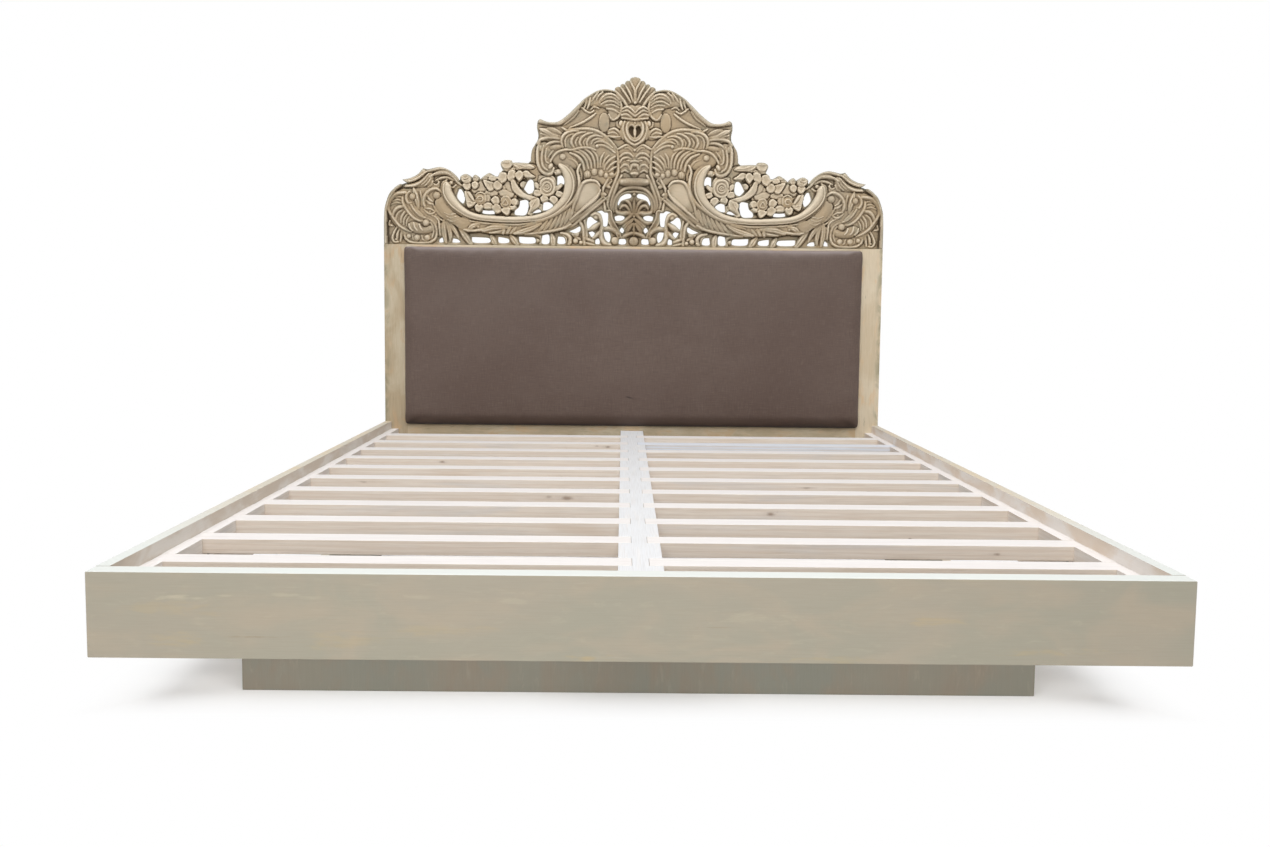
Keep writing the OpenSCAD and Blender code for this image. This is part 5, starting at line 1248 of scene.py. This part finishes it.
def segments(starts, ends):
    """Both ends, direction and squared length of the segments that have a length."""
    for a, b in zip(starts, ends):
        dx, dz = b[0] - a[0], b[1] - a[1]
        length = dx * dx + dz * dz
        if length >= 1e-12:
            yield a, b, dx, dz, length


def quarter(rest):
    """Height of a quarter circle where rest falls from 1 at its foot to 0 at its top."""
    return np.sqrt(1 - rest * rest)


class Relief:
    """Half the carving on the grid: the height of its forms, the height of what strokes stand on, the room to
    the outline in steps, positive inside, and how worn each place is."""

    def __init__(self):
        self.x, self.z = np.meshgrid(GRID * np.arange(COLUMNS), GRID * np.arange(ROWS))
        self.height = np.full(self.x.shape, GROUND)
        self.base = self.height
        self.room = np.full(self.x.shape, -99.0)
        self.worn = np.zeros(self.x.shape)

    def window(self, low, high, margin):
        """The part of the grid between two corners, with a margin in steps."""
        first = np.maximum(np.floor((np.array(low) - margin) / GRID), 0).astype(int)
        last = np.maximum(np.ceil((np.array(high) + margin) / GRID), 0).astype(int) + 1
        return slice(first[1], last[1]), slice(first[0], last[0])

    def distance(self, line, margin):
        """Distance to a closed line, positive inside."""
        win = self.window(line.min(0), line.max(0), margin)
        x, z = self.x[win], self.z[win]
        nearest = np.full(x.shape, 1e9)
        inside = np.zeros(x.shape, bool)
        for (ax, az), (_, bz), dx, dz, length in segments(line, np.roll(line, -1, 0)):
            t = np.clip(((x - ax) * dx + (z - az) * dz) / length, 0, 1)
            nearest = np.minimum(nearest, (x - ax - t * dx) ** 2 + (z - az - t * dz) ** 2)
            if az != bz:
                inside ^= ((az > z) != (bz > z)) & (x < ax + (z - az) * dx / dz)
        return win, np.where(inside, 1, -1) * np.sqrt(nearest)

    def groove(self, gap, mark):
        """Depth of the tool mark beside a form, gap steps away from its middle."""
        depth, width = mark
        return depth * np.clip(1 - np.abs(gap) / width, 0, 1)

    def outline(self, points):
        win, d = self.distance(smooth(points, True, 3), 6)
        self.room[win] = d

    def pierce(self, points):
        win, d = self.distance(smooth(points, True), 6)
        self.room[win] = np.minimum(self.room[win], -d)

    def sink(self, points, floor, reach):
        """Lowers the ground inside a closed line."""
        win, d = self.distance(smooth(points, True), 1)
        h = self.height[win]
        t = np.sqrt(np.clip(d / reach, 0, 1))
        self.height[win] = np.where(d > 0, h + (np.minimum(floor, h) - h) * t, h)

    def mass(self, points, top, reach, foot):
        """A swelling form inside a closed line: it starts at foot, and from reach inwards it is at top."""
        win, d = self.distance(smooth(points, True), 3)
        h = self.height[win] - self.groove(d + 0.5, MASS_GROOVE) * (d < 0)
        rise = foot + (top - foot) * quarter(1 - np.clip(d / reach, 0, 1))
        self.height[win] = np.where(d > 0, np.maximum(h, rise), h)

    def stroke(self, kind, points, wider=WIDER):
        """A rib, blade or roll along a line. The kinds are r round, b blade with a midrib groove, k knife
        edge, h hollow and f the double roll round the window, which keeps its width as drawn."""
        line = smooth(points)
        line[:, 2] *= 1 if kind == "f" else wider
        win = self.window(line[:, :2].min(0), line[:, :2].max(0), line[:, 2].max() / 2 + 3)
        x, z = self.x[win], self.z[win]
        across = np.full(x.shape, 1e9)
        side = np.ones(x.shape)
        half = np.ones(x.shape)
        for (ax, az, aw), (_, _, bw), dx, dz, length in segments(line[:-1], line[1:]):
            t = np.clip(((x - ax) * dx + (z - az) * dz) / length, 0, 1)
            reach = np.maximum((aw + (bw - aw) * t) / 2, 0.2)
            s = np.hypot(x - ax - t * dx, z - az - t * dz) / reach
            near = s < across
            across = np.where(near, s, across)
            side = np.where(near, np.sign((x - ax) * dz - (z - az) * dx), side)
            half = np.where(near, reach, half)
        inside = across < 1
        if not inside.any():
            return
        if kind == "f":
            self.roll(win, across, side)
            return
        level = np.clip(np.percentile(self.base[win][inside], 60), *STROKE_FOOT)
        h = self.height[win] - self.groove((across - 1) * half, STROKE_GROOVE) * ~inside
        rise = RIB_RISE * np.clip(2 * half / wider / RIB_WIDTH, 0.55, 1.8)
        if kind == "k":
            form = 1 - across
        elif kind == "h":
            lip = np.sqrt(np.clip(1 - ((across - 0.8) / 0.2) ** 2, 0, 1))
            form = np.where(across > 0.75, lip, 0.35 + 0.65 * (across / 0.8) ** 2)
        else:
            form = np.clip(1 - across**2, 0, 1) ** RIB_ROUND
        if kind == "b":
            form = form * (1 - 0.4 * np.exp(-((across * half / MIDRIB) ** 2)))
        raised = level + rise * form
        self.height[win] = np.where(inside & (raised > h - 0.5), raised, h)

    def roll(self, win, across, side):
        """A broad roll with a thin lip beside it and a skirt that runs out behind the lip."""
        u = across * side
        broad = np.sqrt(np.clip(1 - ((u - 0.14) / 0.86) ** 2, 0, 1))
        lip = 0.88 * np.sqrt(np.clip(1 - ((u + 0.78) / 0.22) ** 2, 0, 1))
        skirt = (across >= 1) & (across < SKIRT_REACH) & (side < 0)
        h = self.height[win]
        h = np.where(skirt, np.maximum(h, SKIRT_TOP - SKIRT_SLOPE * across), h)
        inside = across < 1
        self.height[win] = np.where(inside, ROLL_FOOT + ROLL_RISE * np.maximum(broad, lip), h)
        self.worn[win] = np.maximum(self.worn[win], inside)

    def leaf(self, points, top, hollow):
        """A petal or leaf over what lies behind it: a crisp rounded rim, hollowed a little in the middle."""
        win, d = self.distance(smooth(points, True), 2)
        d = d + 0.5
        h = self.height[win] - self.groove(d + 0.5, LEAF_GROOVE) * (d < 0)
        drop = LEAF_DROP * (1 - quarter(1 - np.clip(d / LEAF_RIM, 0, 1)))
        cup = LEAF_HOLLOW * hollow * np.clip((d - LEAF_RIM) / LEAF_SLOPE, 0, 1)
        self.height[win] = np.where(d > 0, top - drop - cup, h)
        self.worn[win] = np.where(d > 0, LEAF_WORN, self.worn[win])

    def dome(self, x, z, length, width, turn, rise, foot=PETAL_FOOT, dent=0.0):
        """A petal, bead or ball, with a dent in its middle where it is cupped."""
        win = self.window((x, z), (x, z), max(length, width) / 2 + 1)
        cos, sin = math.cos(math.radians(turn)), math.sin(math.radians(turn))
        dx, dz = self.x[win] - x, self.z[win] - z
        across = np.hypot((dx * cos + dz * sin) / (length / 2), (dz * cos - dx * sin) / (width / 2))
        inside = across < 1
        h = self.height[win]
        level = np.clip(np.percentile(h[inside], 50), foot, TALLEST_FOOT)
        h = h - self.groove((across - 1) * min(length, width) / 2, DOME_GROOVE) * ~inside
        form = np.sqrt(np.clip(1 - across * across, 0, 1)) - dent * np.clip(1 - across * across / 0.5, 0, 1)
        self.height[win] = np.where(inside, level - SUNK + (rise + SUNK) * form, h)


def blurred(field, radius):
    """Gaussian blur of a grid."""
    reach = int(3 * radius) + 1
    weights = np.exp(-0.5 * (np.arange(-reach, reach + 1) / radius) ** 2)
    weights /= weights.sum()
    for axis in (0, 1):
        padded = np.pad(field, [(reach, reach) if axis == k else (0, 0) for k in (0, 1)], "edge")
        size = field.shape[axis]
        field = sum(w * np.take(padded, np.arange(k, k + size), axis) for k, w in enumerate(weights))
    return field


def carve():
    """All forms of the half, from the ground up."""
    relief = Relief()
    # The outline runs on past the centre line, so that the two halves meet without an edge
    relief.outline([[x if x > 0 else -9, z] for x, z in CREST_EDGE])
    for gap in GAPS:
        relief.pierce(gap)
    relief.sink(WINDOW_POCKET, POCKET_FLOOR, POCKET_SLOPE)
    for points, top, reach in WINDOW_MASSES:
        relief.mass(points, top, reach, WINDOW_FOOT)
    for points, top, hollow in WINDOW_LEAVES:
        relief.leaf(points, top, hollow)
    for petal in WINDOW_PETALS:
        relief.dome(*petal, WINDOW_PETAL_FOOT, CUPPED)
    relief.base = relief.height.copy()
    for kind, points in WINDOW_STROKES:
        relief.stroke(kind, points, WINDOW_WIDER)
    for points, top, reach in SCROLL_MASSES + TOP_MASSES + CORNER_MASSES:
        relief.mass(points, top, reach, top - MASS_RISE)
    relief.sink(HEART, HEART_FLOOR, HEART_SLOPE)
    relief.base = relief.height.copy()
    for x, z, length, width, turn, rise in SCROLL_PETALS + TOP_PETALS:
        relief.dome(x, z, PETAL_GROWN * length, PETAL_GROWN * width, turn, PETAL_GROWN * rise)
    for kind, points in SCROLL_STROKES + TOP_STROKES + CENTRE_STROKES + CORNER_STROKES:
        relief.stroke(kind, points)
    for x, z, size in WINDOW_BEADS + SCROLL_BEADS + TOP_BEADS + CENTRE_BEADS + CORNER_BEADS:
        relief.dome(x, z, size, size, 0, BEAD_RISE + BEAD_RISE_PER_STEP * size)
    edge = 1 - np.clip(relief.room / EDGE_REACH, 0, 1)
    height = blurred(np.clip(relief.height, HEART_FLOOR, TALLEST), SOFTENING)
    relief.height = height - EDGE_DROP * (1 - quarter(edge))
    return relief


# Steps that the board's outline lies inside the drawn one
INSET = 0.02


def hollows(height):
    """How far each place lies above (positive) or below its surroundings, near and wide."""
    return (height - blurred(height, 1.4)) / 2.2 + (height - blurred(height, 4.5)) / 6.5


def cut_grid(room, fields):
    """The grid where room is positive, with a point wherever its outline cuts a side of a square. Returns
    the fields at all points, the faces, and the outline as pairs of points. On the outline the height, which
    is the third field, is that of the point inside."""
    rows, columns = room.shape
    inside = room > 0
    number = np.full(room.shape, -1)
    number[inside] = np.arange(inside.sum())
    points = [np.stack([f[inside] for f in fields], -1)]
    cut = {}
    count = int(inside.sum())
    for dj, di in ((0, 1), (1, 0)):
        first = (slice(0, rows - dj), slice(0, columns - di))
        second = (slice(dj, rows), slice(di, columns))
        j, i = np.nonzero(inside[first] != inside[second])
        a, b = room[first][j, i], room[second][j, i]
        t = (a / (a - b))[:, None]
        one = np.stack([f[first][j, i] for f in fields], -1)
        two = np.stack([f[second][j, i] for f in fields], -1)
        on_edge = one + (two - one) * t
        on_edge[:, 2] = np.where(inside[first][j, i], one[:, 2], two[:, 2])
        points.append(on_edge)
        for k, key in enumerate(zip(j.tolist(), i.tolist())):
            cut[(dj, *key)] = count + k
        count += len(j)
    around = inside[:-1, :-1], inside[:-1, 1:], inside[1:, 1:], inside[1:, :-1]
    filled = np.all(around, axis=0)
    crossed = np.any(around, axis=0) & ~filled
    j, i = np.nonzero(filled)
    faces = np.stack([number[j, i], number[j, i + 1], number[j + 1, i + 1], number[j + 1, i]], -1).tolist()
    rim = []
    for j, i in zip(*(k.tolist() for k in np.nonzero(crossed))):
        corners = ((j, i), (j, i + 1), (j + 1, i + 1), (j + 1, i))
        sides = ((0, j, i), (1, j, i + 1), (0, j + 1, i), (1, j, i))
        face = []
        leaving = []
        for k in range(4):
            here, following = corners[k], corners[(k + 1) % 4]
            if inside[here]:
                face.append(int(number[here]))
            if inside[here] != inside[following]:
                face.append(cut[sides[k]])
                leaving.append((bool(inside[here]), face[-1]))
        faces.append(face)
        if not leaving[0][0]:
            leaving = leaving[1:] + leaving[:1]
        rim += [(leaving[k][1], leaving[k + 1][1]) for k in range(0, len(leaving), 2)]
    return np.concatenate(points), faces, rim


def crest_pieces(relief, low, high):
    """The front of each half as a piece of its own, and the board behind them with its edges."""
    unit_x = (high.x - low.x) / CREST_STEPS
    unit_z = (high.z - low.z) / CREST_UP
    slope_z, slope_x = np.gradient(relief.height * MM, GRID * unit_z, GRID * unit_x)
    room = relief.room - INSET
    hollow = hollows(relief.height)
    fields = [relief.x, relief.z, relief.height, slope_x, slope_z, hollow, room, relief.worn]
    points, faces, rim = cut_grid(room, fields)
    x, z, height, slope_x, slope_z, hollow, room, worn = points.T
    place = np.stack([x * unit_x, high.y - height * MM, low.z + z * unit_z], -1)
    normal = np.stack([-slope_x, -np.ones(len(x)), -slope_z], -1)
    normal /= np.linalg.norm(normal, axis=1)[:, None]
    pieces = []
    for side, name in ((-1, "crest_carving_left"), (1, "crest_carving_right")):
        turn = np.array([side, 1, 1])
        mesh = bpy.data.meshes.new(name)
        mesh.from_pydata((place * turn).tolist(), [], faces if side > 0 else [face[::-1] for face in faces])
        for field, values in (("hollow", hollow), ("rim", room), ("worn", worn)):
            layer = mesh.attributes.new(field, "FLOAT", "POINT")
            layer.data.foreach_set("value", np.ascontiguousarray(values))
        mesh.update()
        mesh.normals_split_custom_set_from_vertices((normal * turn).tolist())
        pieces.append(placed(name, mesh))

    def room_at(x, z):
        """Room at a place of the board, between the four nearest points of the grid."""
        i, j = abs(x) / unit_x / GRID, (z - low.z) / unit_z / GRID
        u, v = i % 1, j % 1
        below, above = relief.room[int(j) : int(j) + 2, int(i) : int(i) + 2]
        return (below[0] * (1 - u) + below[1] * u) * (1 - v) + (above[0] * (1 - u) + above[1] * u) * v

    pieces.append(placed("crest_board", crest_board(place, rim, high.y, room_at)))
    return pieces


def crest_board(place, rim, back, room_at):
    """Edges of the outline and of the pierced places, and the flat back between them."""
    index = {}
    front = []
    for k in sorted({k for pair in rim for k in pair}):
        for side in (-1, 1):
            if side > 0 and place[k][0] == 0:
                index[k, 1] = index[k, -1]
                continue
            index[k, side] = len(front)
            front.append((side * place[k][0], place[k][1], place[k][2]))
    count = len(front)
    walls = []
    for a, b in rim:
        for side in (-1, 1):
            p, q = (index[a, side], index[b, side]) if side > 0 else (index[b, side], index[a, side])
            walls.append((q, p, p + count, q + count))
    flat = [Vector((x, z)) for x, _, z in front]
    edges = [wall[:2] for wall in walls]
    corners, _, triangles, origin, _, _ = delaunay_2d_cdt(flat, edges, [], 0, 1e-7)
    number = {k: source[0] for k, source in enumerate(origin) if source}
    floor = []
    for triangle in triangles:
        if room_at(*(sum((corners[k] for k in triangle), Vector((0, 0))) / 3)) > INSET:
            floor.append([number[k] + count for k in triangle])
    mesh = bpy.data.meshes.new("crest_board")
    mesh.from_pydata(front + [(x, back, z) for x, _, z in front], [], walls + floor)
    mesh.update()
    return mesh


carving_finish = carved_wood("carved_wash")
board_finish = rubbed("crest_back", "X", HEAD_TONES, 7.1)
crest_low, crest_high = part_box("crest")
for piece in crest_pieces(carve(), crest_low, crest_high):
    piece.data.materials.append(board_finish if piece.name == "crest_board" else carving_finish)
    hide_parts("crest")
    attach(piece, "root")


# Stage: a pale floor, soft light and the photograph's camera

# Half the side of the floor, and the distances from the middle of the bed, along X and Y, over which the
# floor turns from shaded to plain white
FLOOR_HALF = 40.0
CLEAR_BESIDE = 0.86, 1.10
CLEAR_BEFORE = 0.84, 1.0

# Strength of the even light from all around
SKY = 0.18

# Lamps: name, place, point aimed at, width and height in m, and power in W
LAMPS = (
    ("key", (0.0, -1.2, 3.6), (0.0, 0.1, 0.3), (5.0, 3.6), 162),
    ("front", (-0.6, -4.2, 1.9), (0.0, 0.9, 0.9), (3.4, 2.4), 64),
    ("back", (0.0, 4.4, 2.2), (0.0, 1.0, 0.8), (3.4, 2.0), 34),
)


def stage_floor():
    """A pale floor that shows as white in the picture, but for the shade near the bed."""
    s = Shade("floor_paint")
    colour = s.mix(s.noise(s.space(even(3)), 3.0, 0.5), srgb(250, 250, 250), srgb(253, 253, 253))
    s.finish(colour, 0.8, Specular_IOR_Level=0.1)
    x, y, _ = s.parts(s.place)
    beside = s.span(s.sum("ABSOLUTE", x), *CLEAR_BESIDE)
    before = s.span(s.sum("ABSOLUTE", y), *CLEAR_BEFORE)
    clear = s.sum("MULTIPLY", s.sum("MAXIMUM", beside, before), s.seen())
    glow = s.node("ShaderNodeEmission", Color=WHITE)
    s.feed(s.nodes["Material Output"].inputs[0], s.choose(clear, s.shader, glow))
    mesh = bpy.data.meshes.new("floor")
    corners = [(x * FLOOR_HALF, y * FLOOR_HALF, 0) for x, y in ((-1, -1), (1, -1), (1, 1), (-1, 1))]
    mesh.from_pydata(corners, [], [(0, 1, 2, 3)])
    mesh.materials.append(s.material)
    placed("floor", mesh)


def area_light(name, place, aim, size, power):
    lamp = bpy.data.lights.new(name, "AREA")
    lamp.shape = "RECTANGLE"
    lamp.size, lamp.size_y = size
    lamp.energy = power
    piece = placed(name, lamp)
    piece.location = place
    piece.rotation_euler = (Vector(aim) - Vector(place)).to_track_quat("-Z", "Y").to_euler()


def studio_world():
    """A faint even light, and plain white where the picture or a reflection shows the world."""
    world = bpy.data.worlds.new("studio")
    bpy.context.scene.world = world
    world.use_nodes = True
    world.node_tree.nodes.clear()
    tree = Tree(world.node_tree)
    lit = tree.node("ShaderNodeBackground", Color=WHITE, Strength=SKY)
    white = tree.node("ShaderNodeBackground", Color=WHITE, Strength=1.0)
    tree.node("ShaderNodeOutputWorld", Surface=tree.choose(tree.seen(), lit, white))


# The photograph's size, and the camera solved from it: focal length and optical centre in its pixels,
# turns in radians and place in m. SENSOR is the usual width in mm.
PHOTO_W = 1270
PHOTO_H = 847
SENSOR = 36.0
FOCAL = 920.277
CENTRE_X = 626.864
CENTRE_Y = 366.044
PITCH = 0.0692
YAW = 0.0047
ROLL = -0.0101
EYE = (-0.0398, -2.6808, 0.7882)


def photo_camera():
    """The camera that took the photograph."""
    ahead = Vector((math.sin(YAW) * math.cos(PITCH), math.cos(YAW) * math.cos(PITCH), -math.sin(PITCH)))
    level = Vector((math.cos(YAW), -math.sin(YAW), 0))
    down = ahead.cross(level)
    right = math.cos(ROLL) * level + math.sin(ROLL) * down
    down = math.cos(ROLL) * down - math.sin(ROLL) * level
    lens = bpy.data.cameras.new("photo_camera")
    lens.sensor_width = SENSOR
    lens.lens = FOCAL * SENSOR / PHOTO_W
    lens.shift_x = (PHOTO_W / 2 - CENTRE_X) / PHOTO_W
    lens.shift_y = (CENTRE_Y - PHOTO_H / 2) / PHOTO_W
    lens.clip_start = 0.05
    camera = placed("photo_camera", lens)
    turn = Matrix((right, -down, -ahead)).transposed()
    camera.matrix_world = Matrix.Translation(EYE) @ turn.to_4x4()
    bpy.context.scene.camera = camera


bpy.context.scene.view_settings.view_transform = "Standard"
stage_floor()
studio_world()
for lamp in LAMPS:
    area_light(*lamp)
photo_camera()
